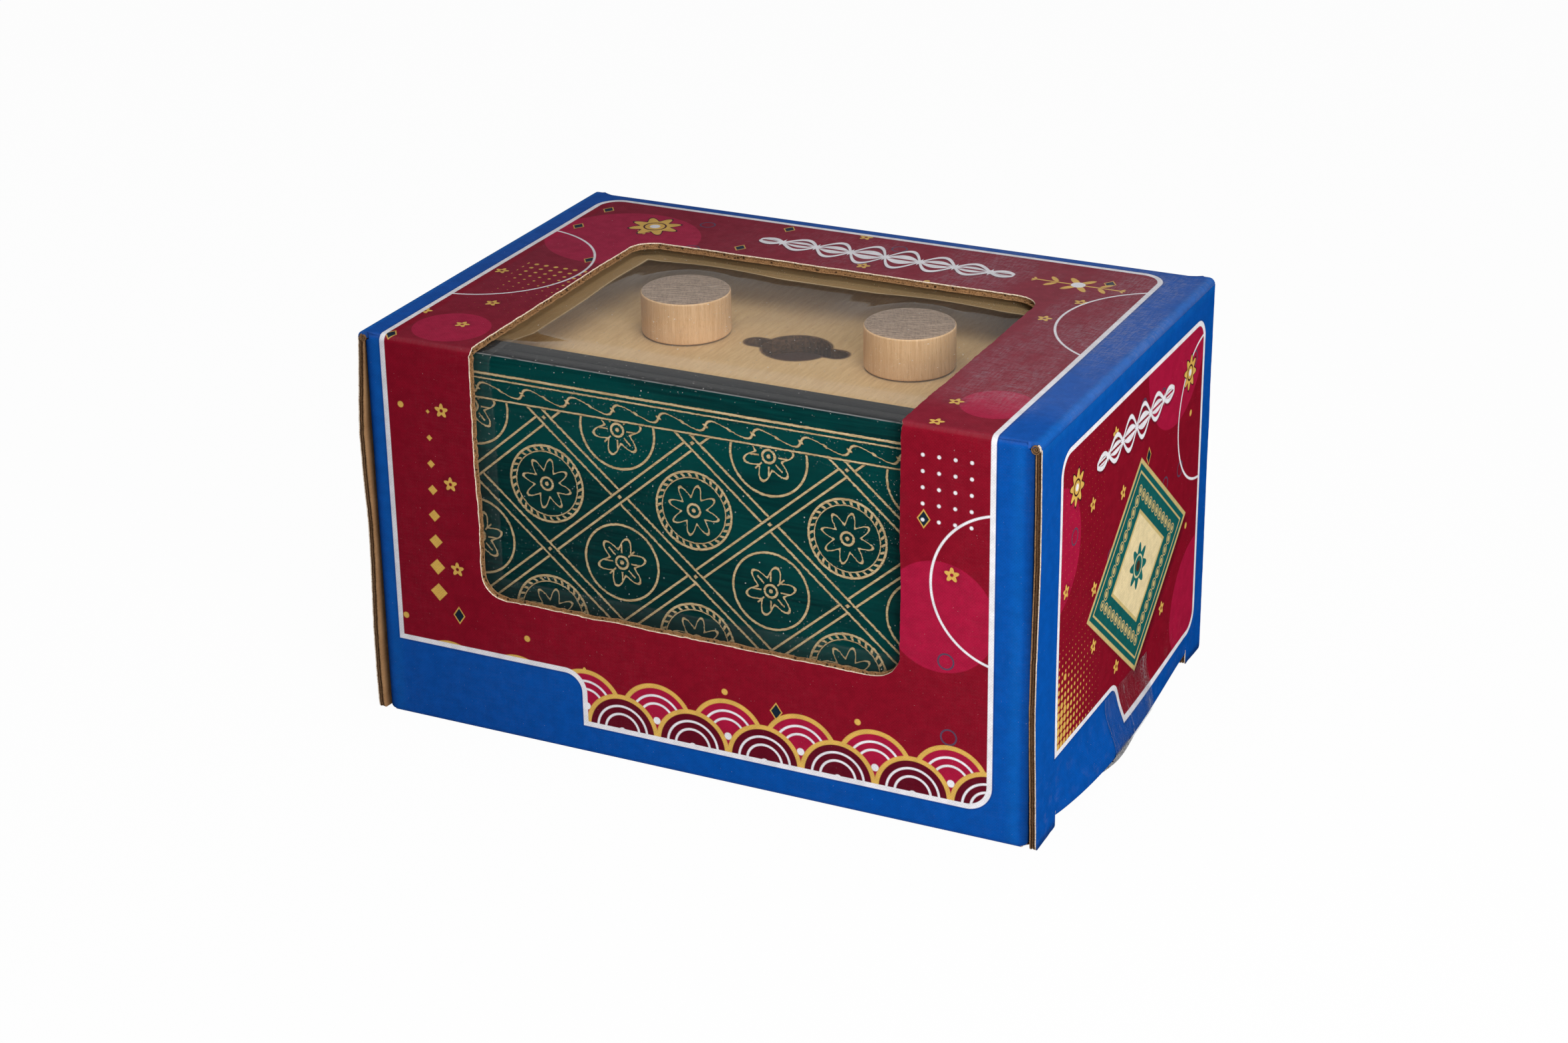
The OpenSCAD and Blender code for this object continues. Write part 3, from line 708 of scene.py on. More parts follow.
def opening_flowers(x, z, wide, tall):
    """Mask of a ringed flower in each opening of the lattice, of two kinds in turn."""
    rise = x / wide + z / tall
    fall = x / wide - z / tall
    own_rise = (rise - 0.5).fold(1.0)
    own_fall = (fall - 0.5).fold(1.0)
    own_x = (own_rise + own_fall) * (wide / 2)
    own_z = (own_rise - own_fall) * (tall / 2)
    kind = abs((rise.floor() + fall.floor()) % 2.0) > 0.5
    away = far(own_x, own_z)
    bearing = own_x.angle(own_z)
    petals = away - 4.7 - (bearing * (kind * 2.0 + 6.0)).sin() * 1.4
    flower = petals.line(0.35, 0.08).most((away - 1.5).line(0.32, 0.08)).most((away - 0.55).fill(0.1))
    rope = (bearing * 30.0 + away * 2.0).sin().ramp(0.1, 0.5) * (away - 8.45).line(0.5, 0.1)
    rings = (away - 9.2).line(0.32, 0.08).most(rope * kind)
    rings = rings.most((away - 7.8).line(0.18, 0.08) * kind)
    veins = abs((bearing.fold(math.pi / 4)) * away).line(0.24, 0.1) * between(away, 2.3, 4.6)
    return flower.most(rings).most(veins * (1.0 - kind))


def engraving(x, z, reach_x, reach_z):
    """Mask of the cut lines: a framed lattice with flowers, and a scroll along the frame."""
    wide, tall = 37.0, 32.0
    pattern = lattice(x, z, wide, tall).most(opening_flowers(x, z, wide, tall))
    level = -slab(x, z, (-reach_x, -reach_z), (reach_x, reach_z), 0.5)
    lines = (level - 4.2).line(0.34, 0.08).most((level - 5.4).line(0.24, 0.08))
    lines = lines.most((level - 10.2).line(0.27, 0.08))
    swing = ((x + z) * 0.55).sin() * 1.3
    scroll = (level - 7.8 - swing).line(0.24, 0.1)
    scroll = scroll.most(far((x + z).fold(5.712), level - 7.8).line(0.5))
    scroll = scroll * (level - 7.8).line(2.0, 0.05)
    return lines.most(scroll).most(pattern * (level - 10.4).slope(0.0, 0.2))


def stained_ply(look, engraved):
    """Green stained plywood, its face cut with fine pale lines."""
    finish = Finish("engraved_ply" if engraved else "stained_ply")
    place = finish.object_mm()
    x, y, z = finish.split(place)
    streaks, pores, cloud = ply_grain(finish, place)
    finish.colour = finish.mix(streaks.ramp(0.3, 0.75), screen(0, 38, 40), look.stain)
    finish.coat(cloud.ramp(0.4, 0.7) * 0.5, screen(0, 80, 78))
    finish.coat(pores.ramp(0.62, 0.74) * 0.45, screen(0, 22, 26))
    finish.coat(finish.grain(place, 2.2, 2.0, 0.7).ramp(0.72, 0.78) * 0.2, screen(60, 128, 120))
    height = streaks * 0.02 + pores * 0.015
    rough = 0.42 + streaks * 0.16
    if engraved:
        shaky = (finish.grain(place, 2.2, 3.0, 0.7) - 0.5) * 0.5
        reach_z = (FRONT_HIGH.z - FRONT_LOW.z) / 2 / MM - 0.4
        own_z = z - (FRONT_LOW.z + FRONT_HIGH.z) / 2 / MM + shaky
        cut = engraving(x + shaky, own_z, FRONT_HIGH.x / MM - 0.6, reach_z)
        bare = finish.mix(pores.ramp(0.4, 0.62), look.line, screen(182, 154, 112))
        finish.coat(cut.slope(0.35, 0.75), bare)
        finish.coat(cut.slope(0.05, 0.6) * (1.0 - cut.slope(0.5, 1.0)) * 0.6, screen(40, 36, 26))
        height = height - cut * (look.cut / MM)
        rough = rough + cut * 0.2
    return finish.coated(rough, height, Specular_IOR_Level=0.03)


def painted_rim(look):
    """Blackened board edges with the plies just showing and a lighter arris."""
    finish = Finish("painted_rim")
    place = finish.object_mm()
    x, y, z = finish.split(place)
    rough = finish.streaks(place, (0.3, 2.0, 1.0), 5.0, 0.7, scale=1.2)
    dust = finish.grain(place, 2.4, 3.0, 0.8).ramp(0.64, 0.76)
    finish.colour = finish.mix(rough.ramp(0.3, 0.8), screen(26, 28, 30), look.rim)
    finish.coat(dust * 0.3, screen(96, 96, 96))
    # A lighter line along the top front edge.
    arris = (FRONT_HIGH.z / MM - z).ramp(0.6, 0.1) * (y - FRONT_LOW.y / MM).ramp(0.6, 0.0)
    finish.coat(arris * rough.ramp(0.3, 0.5), screen(132, 134, 134))
    return finish.coated(0.5, rough * 0.05 + (y * 4.2).sin() * 0.01, Specular_IOR_Level=0.04)


def bare_ply(look):
    """Pale plywood, brushed along its length, and darkened round the keyhole."""
    finish = Finish("bare_ply")
    place = finish.object_mm()
    x, y, z = finish.split(place)
    streaks, pores, cloud = ply_grain(finish, place, (1.0, 0.1, 1.0))
    rings = finish.streaks(place, (0.16, 0.03, 0.16), 2.0, 0.5, 1.5)
    brushed = finish.streaks(place, (1.6, 0.35, 1.6), 4.0, 0.8)
    finish.colour = finish.mix(streaks.ramp(0.28, 0.72), screen(190, 158, 114), look.lid)
    finish.coat(rings.ramp(0.5, 0.62) * 0.14, screen(184, 146, 98))
    finish.coat(cloud.ramp(0.4, 0.7) * 0.25, screen(226, 194, 146))
    finish.coat(brushed.ramp(0.4, 0.7) * 0.24, screen(176, 140, 96))
    finish.coat(pores.ramp(0.54, 0.7) * 0.34, screen(158, 122, 84))
    own_x = abs(x - (BACKING_LOW.x + BACKING_HIGH.x) / 2 / MM)
    own_y = y - (BACKING_LOW.y + BACKING_HIGH.y) / 2 / MM
    bore = far(own_x, own_y) - 8.0
    ear = far((own_x - 10.45).most(0.0), own_y) - 2.5
    scorch = (bore.least(ear) - streaks * 0.5).ramp(0.75, 0.0)
    char = finish.mix(brushed.ramp(0.4, 0.6), screen(54, 36, 28), screen(92, 64, 46))
    finish.coat(scorch * 0.95, char)
    return finish.coated(
        0.52 + streaks * 0.12, streaks * 0.02 + pores * 0.02, Specular_IOR_Level=0.06)


def burnt_ply(look):
    """Scorched plywood at the bottom of the keyhole."""
    finish = Finish("burnt_ply")
    place = finish.object_mm()
    streaks, pores, cloud = ply_grain(finish, place, (0.12, 0.9, 0.9))
    soot = finish.grain(place, 0.5, 5.0, 0.7)
    finish.colour = finish.mix(streaks.ramp(0.35, 0.7), screen(58, 40, 34), look.burnt)
    finish.coat(soot.ramp(0.52, 0.7) * 0.6, screen(44, 30, 26))
    finish.coat(pores.ramp(0.6, 0.7) * 0.3, screen(104, 76, 58))
    return finish.coated(0.75, streaks * 0.08 + soot * 0.1, Specular_IOR_Level=0.2)


def knob_side(look):
    """Turned hardwood with upright grain."""
    finish = Finish("knob_side")
    place = finish.object_mm()
    streaks, pores, cloud = ply_grain(finish, place, (1.0, 1.0, 0.05))
    rays = finish.streaks(place, (5.0, 5.0, 0.7), 2.0, 0.6)
    finish.colour = finish.mix(streaks.ramp(0.3, 0.72), screen(222, 180, 132), look.beech)
    finish.coat(rays.ramp(0.56, 0.68) * 0.4, screen(200, 154, 106))
    finish.coat(pores.ramp(0.56, 0.7) * 0.4, screen(168, 122, 82))
    return finish.coated(0.46, streaks * 0.02 + rays * 0.02, Specular_IOR_Level=0.35)


def knob_end(look):
    """End grain with curved year rings and fine saw marks."""
    finish = Finish("knob_end")
    place = finish.object_mm()
    x, y, z = finish.split(place)
    warp = finish.streaks(place, (0.12, 0.12, 0.12), 3.0, 0.5)
    rings = (far(x * 0.35 + warp * 5.0, y + 16.0 + warp * 4.0) * 5.2).sin()
    own = finish.join(x * 0.9 + y * 0.44, y * 0.9 - x * 0.44, z)
    saw = finish.streaks(own, (0.24, 2.4, 1.0), 4.0, 0.7)
    rays = finish.streaks(own, (2.6, 0.4, 1.0), 3.0, 0.7)
    pores = finish.grain(place, 2.6, 3.0, 0.7)
    pale = rings.ramp(-1.0, 1.0) * 0.3 + rays.ramp(0.34, 0.66) * 0.7
    finish.colour = finish.mix(pale, screen(106, 84, 66), look.end_grain)
    finish.coat(saw.ramp(0.46, 0.64) * 0.5, screen(198, 174, 150))
    finish.coat(pores.ramp(0.52, 0.66) * 0.5, screen(84, 66, 54))
    return finish.coated(0.6, saw * 0.06 + rings * 0.01 + pores * 0.04)


def plated_steel(look):
    """Zinc-plated steel, dulled and finely scratched."""
    finish = Finish("plated_steel")
    scratches = finish.streaks(finish.object_mm(), (3.0, 3.0, 0.4), 4.0, 0.7)
    finish.colour = finish.mix(scratches.ramp(0.4, 0.7) * 0.4, look.steel, screen(140, 140, 136))
    return finish.coated(0.3 + scratches * 0.15, scratches * 0.01, Metallic=1.0)


# ---------------------------------------------------------------- board work

PRINT, INSIDE, CORE, OUTER_CUT, INNER_CUT, FLUTE = range(6)
HAIR = MM / 1000


def clamp(value):
    return min(1.0, max(0.0, value))


def soft_step(value):
    return value * value * (3.0 - 2.0 * value)


def steps_between(low, high, count):
    return [low + (high - low) * i / count for i in range(count + 1)]


def of_kind(parts, kind):
    return [part for part in parts if isinstance(part, kind)]


def drift(scale, *place):
    """Smooth noise from -1 to 1 at a place; a larger scale makes it finer."""
    return noise.noise(Vector(place) * scale)


def face_out(bm):
    bmesh.ops.recalc_face_normals(bm, faces=bm.faces[:])


def round_off(bm, parts, width, steps, affect="EDGES"):
    bmesh.ops.bevel(
        bm, geom=parts, offset=width, offset_type="OFFSET", segments=steps, profile=0.5,
        affect=affect, material=-1)


def mirrored(points):
    """An outline seen from its other side, still run the same way round."""
    return [(-u, v) for u, v in reversed(points)]


def corner_round(points, radii, steps=5):
    """The corners of a flat outline, each rounded by its own radius."""
    bm = bmesh.new()
    corners = [bm.verts.new((u, v, 0.0)) for u, v in points]
    bm.faces.new(corners)
    for corner, radius in zip(corners, radii):
        if radius > 0.0:
            round_off(bm, [corner], radius, steps, "VERTICES")
    bm.faces.ensure_lookup_table()
    loop = [(vert.co.x, vert.co.y) for vert in bm.faces[0].verts]
    bm.free()
    return loop


def finer(loop, step):
    """An outline with its long sides cut into steps."""
    fine = []
    for here, there in zip(loop, loop[1:] + loop[:1]):
        parts = max(1, round(math.dist(here, there) / step))
        fine += [(here[0] + (there[0] - here[0]) * i / parts,
                  here[1] + (there[1] - here[1]) * i / parts) for i in range(parts)]
    return fine


def signed_area(loop):
    """Above 0 where an outline runs anticlockwise."""
    pairs = zip(loop, loop[1:] + loop[:1])
    return sum(here[0] * there[1] - there[0] * here[1] for here, there in pairs) / 2


def ragged(loop, reach, seed, torn_at=None):
    """An outline with the small unevenness of die-cut board, rougher where it crosses a fold."""
    rough = []
    for u, v in loop:
        place = Vector((u, v, seed * MM)) * 700.0
        slow = place * 0.12
        grow = reach
        if torn_at is not None:
            grow += 3.0 * reach * max(0.0, 1.0 - abs(v - torn_at) / (3.5 * MM))
        rough.append((u + grow * (noise.noise(place) + 1.4 * noise.noise(slow)),
                      v + grow * (noise.noise(place * 1.3) + 1.4 * noise.noise(slow * 1.4))))
    return rough


def slice_at(bm, axis, places):
    """Cuts the whole mesh across an axis at each place."""
    normal = Vector((0.0, 0.0, 0.0))
    normal[axis] = 1.0
    for place in places:
        everything = bm.verts[:] + bm.edges[:] + bm.faces[:]
        bmesh.ops.bisect_plane(bm, geom=everything, dist=1e-7, plane_co=normal * place, plane_no=normal)


def flute_ribbon(bm, loop, look, axis, inward):
    """The fluting that shows in the hollow of a cut edge, as a thin waved strip."""
    count = len(loop)
    verts = []
    for u, v in loop:
        wave = math.sin(2 * math.pi * (u, v)[axis] / look.flute)
        depth = look.board * (0.5 + 0.27 * wave + 0.075 * drift(300.0, u, v, 0.0))
        verts.append(bm.verts.new((u, v, -depth)))
    edges = [bm.edges.new((verts[i], verts[(i + 1) % count])) for i in range(count)]
    grown = bmesh.ops.extrude_edge_only(bm, edges=edges)["geom"]
    made = of_kind(grown, bmesh.types.BMFace)
    clear_of_core = 0.06 * MM
    lean = clear_of_core + (look.splay * 0.5 if inward > 0.0 else 0.0)
    for i, (low, high) in enumerate(zip(verts, of_kind(grown, bmesh.types.BMVert))):
        along = (Vector(loop[(i + 1) % count]) - Vector(loop[i - 1])).normalized()
        out = Vector((along.y, -along.x, 0.0)) * inward
        low.co += out * lean
        high.co = low.co + out * look.hollow * 0.95
    for face in made:
        face.material_index = FLUTE
    paper = 0.15 * MM
    bmesh.ops.solidify(bm, geom=made, thickness=paper)


def lean_cut(bm, hole, look):
    """Leans the cut of a hole out under the print, as a die leaves it."""
    reach_u = max(abs(u) for u, v in hole) + MM
    reach_v = max(abs(v) for u, v in hole) + MM
    past_foot = 4.0 * MM
    lean = {}
    for face in bm.faces:
        middle = face.calc_center_median()
        if abs(face.normal.z) < 0.5 and abs(middle.x) < reach_u and middle.y < reach_v:
            for vert in face.verts:
                if past_foot < vert.co.y and abs(vert.co.x) < reach_u:
                    lean[vert] = lean.get(vert, Vector((0.0, 0.0, 0.0))) + face.normal
    for vert, way in lean.items():
        rough = 1.0 + 0.8 * drift(900.0, vert.co.x, vert.co.y, 0.0)
        vert.co += way.normalized() * (
            look.splay * rough * max(0.0, -vert.co.z / look.board) ** 0.7)


def board_blank(look, outer, holes, cuts_u, cuts_v, flute_axis, closed=None, crease=None):
    """A flat piece of corrugated board with its liners, hollow edge and fluting. Where crease is
    true of a place on the edge, the board goes on into a fold and shows no cut; closed gives the
    length at which a blank meets its own start. Each corner keeps its flat place for the print."""
    bm = bmesh.new()
    for loop in [outer] + holes:
        verts = [bm.verts.new((u, v, 0.0)) for u, v in loop]
        for i, vert in enumerate(verts):
            bm.edges.new((vert, verts[(i + 1) % len(verts)]))
    bmesh.ops.triangle_fill(bm, use_beauty=True, use_dissolve=False, edges=bm.edges[:])
    for face in bm.faces:
        if face.normal.z < 0.0:
            face.normal_flip()
    slice_at(bm, 0, cuts_u)
    slice_at(bm, 1, cuts_v)
    for face in bm.faces:
        face.material_index = PRINT
    grown = bmesh.ops.extrude_face_region(bm, geom=bm.faces[:], use_keep_orig=True)["geom"]
    for vert in of_kind(grown, bmesh.types.BMVert):
        vert.co.z = -look.board
    bm.normal_update()
    face_out(bm)
    slice_at(bm, 2, [-look.liner, -look.board + look.liner])
    if closed is not None:
        seam = [face for face in bm.faces if abs(face.normal.y) > 0.9 and min(
            abs(face.calc_center_median().y), abs(face.calc_center_median().y - closed)) < HAIR]
        bmesh.ops.delete(bm, geom=seam, context="FACES")
    for hole in holes:
        lean_cut(bm, hole, look)
    core = []
    for face in bm.faces:
        middle = face.calc_center_median()
        if abs(face.normal.z) > 0.5:
            face.material_index = PRINT if face.normal.z > 0.0 else INSIDE
        elif crease is not None and crease(middle.x, middle.y):
            face.material_index = PRINT
        elif middle.z > -look.liner:
            face.material_index = OUTER_CUT
        elif middle.z < -look.board + look.liner:
            face.material_index = INNER_CUT
        else:
            face.material_index = CORE
            core.append(face)
    bmesh.ops.inset_region(
        bm, faces=core, thickness=0.0, depth=-look.hollow, use_boundary=True, use_even_offset=True)
    for face in bm.faces:
        middle = face.calc_center_median()
        if -look.board + look.liner - HAIR < middle.z < -look.liner + HAIR and not (
                crease is not None and crease(middle.x, middle.y)):
            face.material_index = CORE
    for loop, inward in [(outer, -1.0)] + [(hole, 1.0) for hole in holes]:
        way = inward if signed_area(loop) > 0.0 else -inward
        flute_ribbon(bm, finer(loop, 0.4 * MM), look, flute_axis, way)
    layer = bm.loops.layers.uv.new("Flat")
    for face in bm.faces:
        for corner in face.loops:
            corner[layer].uv = (corner.vert.co.x, corner.vert.co.y)
    return bm


def bend_board(bm, place):
    """Folds a flat blank: place gives a point in space from a width, a length and a depth."""
    for vert in bm.verts:
        vert.co = place(vert.co.x, vert.co.y, -vert.co.z)
    bmesh.ops.remove_doubles(bm, verts=bm.verts[:], dist=2e-7)


def linked(name, data):
    """A new object at the origin, in the scene."""
    made = bpy.data.objects.new(name, data)
    bpy.context.scene.collection.objects.link(made)
    return made


def mesh_from(name, bm, materials):
    mesh = bpy.data.meshes.new(name)
    bm.to_mesh(mesh)
    bm.free()
    for material in materials:
        mesh.materials.append(material)
    return mesh


def settle(name, bm, body, materials, stands_for=(), smooth=40.0):
    """Turns a finished mesh into a piece that rides on a body."""
    mesh = mesh_from(name, bm, materials)
    mesh.shade_smooth()
    mesh.set_sharp_from_angle(angle=math.radians(smooth))
    piece = linked(name, mesh)
    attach(piece, body)
    if stands_for:
        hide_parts(*stands_for)
    return piece


def board_materials(look, printed, hollow="core_in_painted_shade"):
    """The print, the plain inside and the parts of a cut edge."""
    if "kraft_inside" not in bpy.data.materials:
        kraft_paper(look)
        # The end pieces get a darker copy of the core, as painted shade; the sleeve's crushed core is
        # pitted and painted lighter, as lit from above.
        cut_paper("core_in_painted_shade", screen(104, 76, 54), screen(66, 46, 32))
        cut_paper("crushed_core", screen(176, 134, 92), screen(112, 80, 52), 0.9)
        cut_paper("fluting", screen(126, 96, 68), screen(88, 64, 44))
        cut_paper("cut_outer_liner", look.paper, screen(186, 160, 134))
        cut_paper("cut_inner_liner", screen(158, 122, 86), screen(112, 82, 56))
    others = ("kraft_inside", hollow, "cut_outer_liner", "cut_inner_liner", "fluting")
    return [printed] + [bpy.data.materials[name] for name in others]


# ---------------------------------------------------------------- sleeve


def curl_length(look):
    """The length of board that goes into a right-angled curl."""
    return look.board * math.pi / 2


def sleeve_place(look):
    """How the blank of the four panels goes round the box and curls at its ends."""
    radius = look.fold
    corners = [Vector(spot) for spot in (
        (-HALF_D, 0.0), (-HALF_D, HEIGHT), (HALF_D, HEIGHT), (HALF_D, 0.0))]
    ways = [Vector(way) for way in ((0.0, 1.0), (1.0, 0.0), (0.0, -1.0), (-1.0, 0.0))]
    outward = [Vector((-way.y, way.x)) for way in ways]
    curls = (DUST_LOW.x, FLAP_LOW.x, DUST_LOW.x, None)
    lid, under = 1, 3
    pillow = 0.12 * MM
    eased_over = 10.0 * MM
    crushed_from, crushed_over = 77.4 * MM, 2.0 * MM

    def place(u, s, depth):
        panel = next(i for i in range(4) if s <= FOLDS[i + 1] + 1e-9)
        start, end = FOLDS[panel], FOLDS[panel + 1]
        along, out = ways[panel], outward[panel]
        from_fold = min(s - start, end - s)
        if curls[panel] is not None and abs(u) > curls[panel]:
            turn = (abs(u) - curls[panel]) / look.board
            arm = look.board - depth
            depth = look.board - arm * math.cos(turn)
            u = math.copysign(curls[panel] + arm * math.sin(turn), u)
        swell = pillow * drift(22.0, u, s, 0.0)
        if panel == under:
            swell = -abs(swell)
        straight = 0.0
        if panel == lid:
            straight = soft_step(clamp((abs(u) - crushed_from) / crushed_over))
        if from_fold >= radius or straight == 1.0:
            rise = swell * min(1.0, from_fold / eased_over)
            spot = corners[panel] + along * (s - start) - out * (depth - rise)
            return Vector((u, spot.x, spot.y))
        after = (panel + 1) % 4
        if s - start < end - s:
            first, second, corner, gone = outward[panel - 1], out, corners[panel], s - start
        else:
            first, second, corner, gone = out, outward[after], corners[after], s - end
        share = math.radians(45.0 + 45.0 * gone / radius)
        arm = first * math.cos(share) + second * math.sin(share)
        spot = corner - (first + second) * radius + arm * (radius - depth)
        if straight > 0.0:
            spot = spot.lerp(corners[panel] + along * (s - start) - out * depth, straight)
        return Vector((u, spot.x, spot.y))

    return place


def sleeve_outline(look):
    """The blank's outline: each panel with the stub of its flap at both ends."""
    side = DUST_LOW.x
    front = side + curl_length(look)
    lid = FLAP_LOW.x + curl_length(look)
    foot = FLAP_LOW.x - 0.6 * MM
    a, b, c, d = FOLDS[1:]
    right = [
        (side, 0.0), (side, 0.5 * MM), (front - 0.9 * MM, 1.0 * MM), (front, 2.2 * MM),
        (front, a - 3.4 * MM), (front - 0.6 * MM, a - 2.4 * MM), (side, a - 1.4 * MM),
        (side, a + 0.2 * MM), (side + 0.5 * MM, a + 0.45 * MM), (lid, a + 0.5 * MM),
        (lid, b - 0.5 * MM), (side + 0.5 * MM, b - 0.45 * MM), (side, b - 0.2 * MM),
        (side, b + 2.0 * MM), (front, b + 4.5 * MM), (front, c - 4.0 * MM), (side, c - 2.0 * MM),
        (side, c + 2.0 * MM), (foot, c + 3.0 * MM), (foot, d - 3.0 * MM), (side, d - 2.0 * MM),
        (side, d),
    ]
    return right + mirrored(right)


def make_sleeve(look):
    """Four panels folded from one blank, with the window cut through the front and the top."""
    side = DUST_LOW.x
    a, b, c, d = FOLDS[1:]
    window = corner_round(
        [(-look.window_left, look.window_foot), (look.window_right, look.window_foot),
         (look.window_right, a + look.window_reach), (-look.window_left, a + look.window_reach)],
        [look.window_corner] * 4, 8)
    window = ragged(finer(window, 0.9 * MM), look.ragged, 3.0, a)
    curl = curl_length(look)
    cuts_u = []
    for sign in (-1.0, 1.0):
        for edge in (side, FLAP_LOW.x):
            cuts_u += [sign * place for place in steps_between(edge, edge + curl, 5)]
    cuts_u += steps_between(-72 * MM, 72 * MM, 12)
    cuts_v = []
    for fold in FOLDS:
        cuts_v += [fold + place for place in steps_between(-look.fold, look.fold, 8)]
    for low, high in zip(FOLDS, FOLDS[1:]):
        cuts_v += steps_between(low, high, 8)[1:-1]
    cuts_v = [place for place in cuts_v if HAIR < place < d - HAIR]
    stub = FLAP_LOW.x + curl - 0.1 * MM

    def crease(u, v):
        near_lid = min(abs(v - a), abs(v - b)) < 2.2 * MM
        return abs(u) > stub or (abs(u) > side - 1.0 * MM and near_lid)

    bm = board_blank(
        look, sleeve_outline(look), [window], cuts_u, cuts_v, 1, closed=d, crease=crease)
    bend_board(bm, sleeve_place(look))
    return settle("printed_sleeve", bm, "root",
                  board_materials(look, sleeve_print(look), "crushed_core"), ["carton_sleeve"])


def make_crease_rolls():
    """The crushed ends of the top creases, rolled up at the carton's four upper corners."""
    middle_x = FLAP_LOW.x + 0.1 * MM
    middle_z = FLAP_HIGH.z + 0.12 * MM
    front_y = HALF_D - 0.1 * MM
    long, thick = 1.0 * MM, 0.26 * MM
    steps = 80
    bm = bmesh.new()
    for side in (1, -1):
        for rear in (-1, 1):
            run = []
            for share in steps_between(0.0, 1.0, steps - 1):
                turn = (0.35 - share * 4.6) * math.pi
                radius = (1.2 - 1.0 * share ** 1.3) * (1.0 if side > 0 else 0.8) * MM
                radius *= 1.0 + 0.03 * math.sin(turn * 2.3 + side + rear)
                run.append(bm.verts.new((side * (middle_x + radius * math.cos(turn)),
                                         rear * front_y, middle_z + radius * math.sin(turn))))
            edges = [bm.edges.new(pair) for pair in zip(run, run[1:])]
            grown = bmesh.ops.extrude_edge_only(bm, edges=edges)["geom"]
            inner = of_kind(grown, bmesh.types.BMVert)
            bmesh.ops.translate(bm, verts=inner, vec=(0.0, -rear * long, 0.0))
    face_out(bm)
    bmesh.ops.solidify(bm, geom=bm.faces[:], thickness=thick)
    for face in bm.faces:
        spot = face.calc_center_median()
        away = math.dist((abs(spot.x), spot.z), (middle_x, middle_z))
        face.material_index = 0 if away > (1.0 if spot.x > 0.0 else 0.85) * MM else 1
    stock = bpy.data.materials
    return settle("crease_rolls", bm, "root",
                  [stock["cut_outer_liner"], stock["fluting"]])


# ---------------------------------------------------------------- end closure

HINGE_Z = FLAP_HIGH.z + 0.085 * MM
TUCK_Z = TAB_HIGH.z
FOOT_FRONT = -FLAP_HIGH.y + 12.0 * MM
FOOT_REAR = FLAP_HIGH.y - 10.5 * MM
BELLY_FRONT = FOOT_FRONT + 0.1 * MM
BELLY_REAR = FOOT_REAR - 0.1 * MM
BELLY = 3.1 * MM
BELLY_HIGH = 12.0 * MM


def end_flap_outline(look):
    """An end flap with its two feet, the slits and the stub of its tuck tab, and its radii."""
    y = FLAP_HIGH.y
    slit = 0.25 * MM
    low = TUCK_Z - curl_length(look)
    rise = TUCK_Z + 0.5 * MM
    points = [
        (-y, 0.0), (FOOT_FRONT, 0.0), (FOOT_FRONT, rise), (FOOT_FRONT + slit, rise),
        (FOOT_FRONT + slit, low), (FOOT_REAR - slit, low), (FOOT_REAR - slit, rise),
        (FOOT_REAR, rise), (FOOT_REAR, 0.0), (y, 0.0), (y, HINGE_Z), (-y, HINGE_Z),
    ]
    outer, inner = 0.9 * MM, 0.5 * MM
    return points, [outer, inner] + [0.0] * 6 + [inner, outer, 0.0, 0.0]


def tuck_bulge(y, z):
    """How far the folded foot of an end flap bellies out at a width and a height."""
    share = clamp((y - BELLY_FRONT) / (BELLY_REAR - BELLY_FRONT))
    across = max(0.0, math.sin(math.pi * share ** 0.72))
    return BELLY * across ** 1.15 * soft_step(clamp(1.0 - (z - TUCK_Z) / BELLY_HIGH))


def tucked_under(turn):
    """How much of the belly is left at an angle round the tuck crease."""
    return max(0.0, 1.0 - (turn / (math.pi / 2)) ** 4)


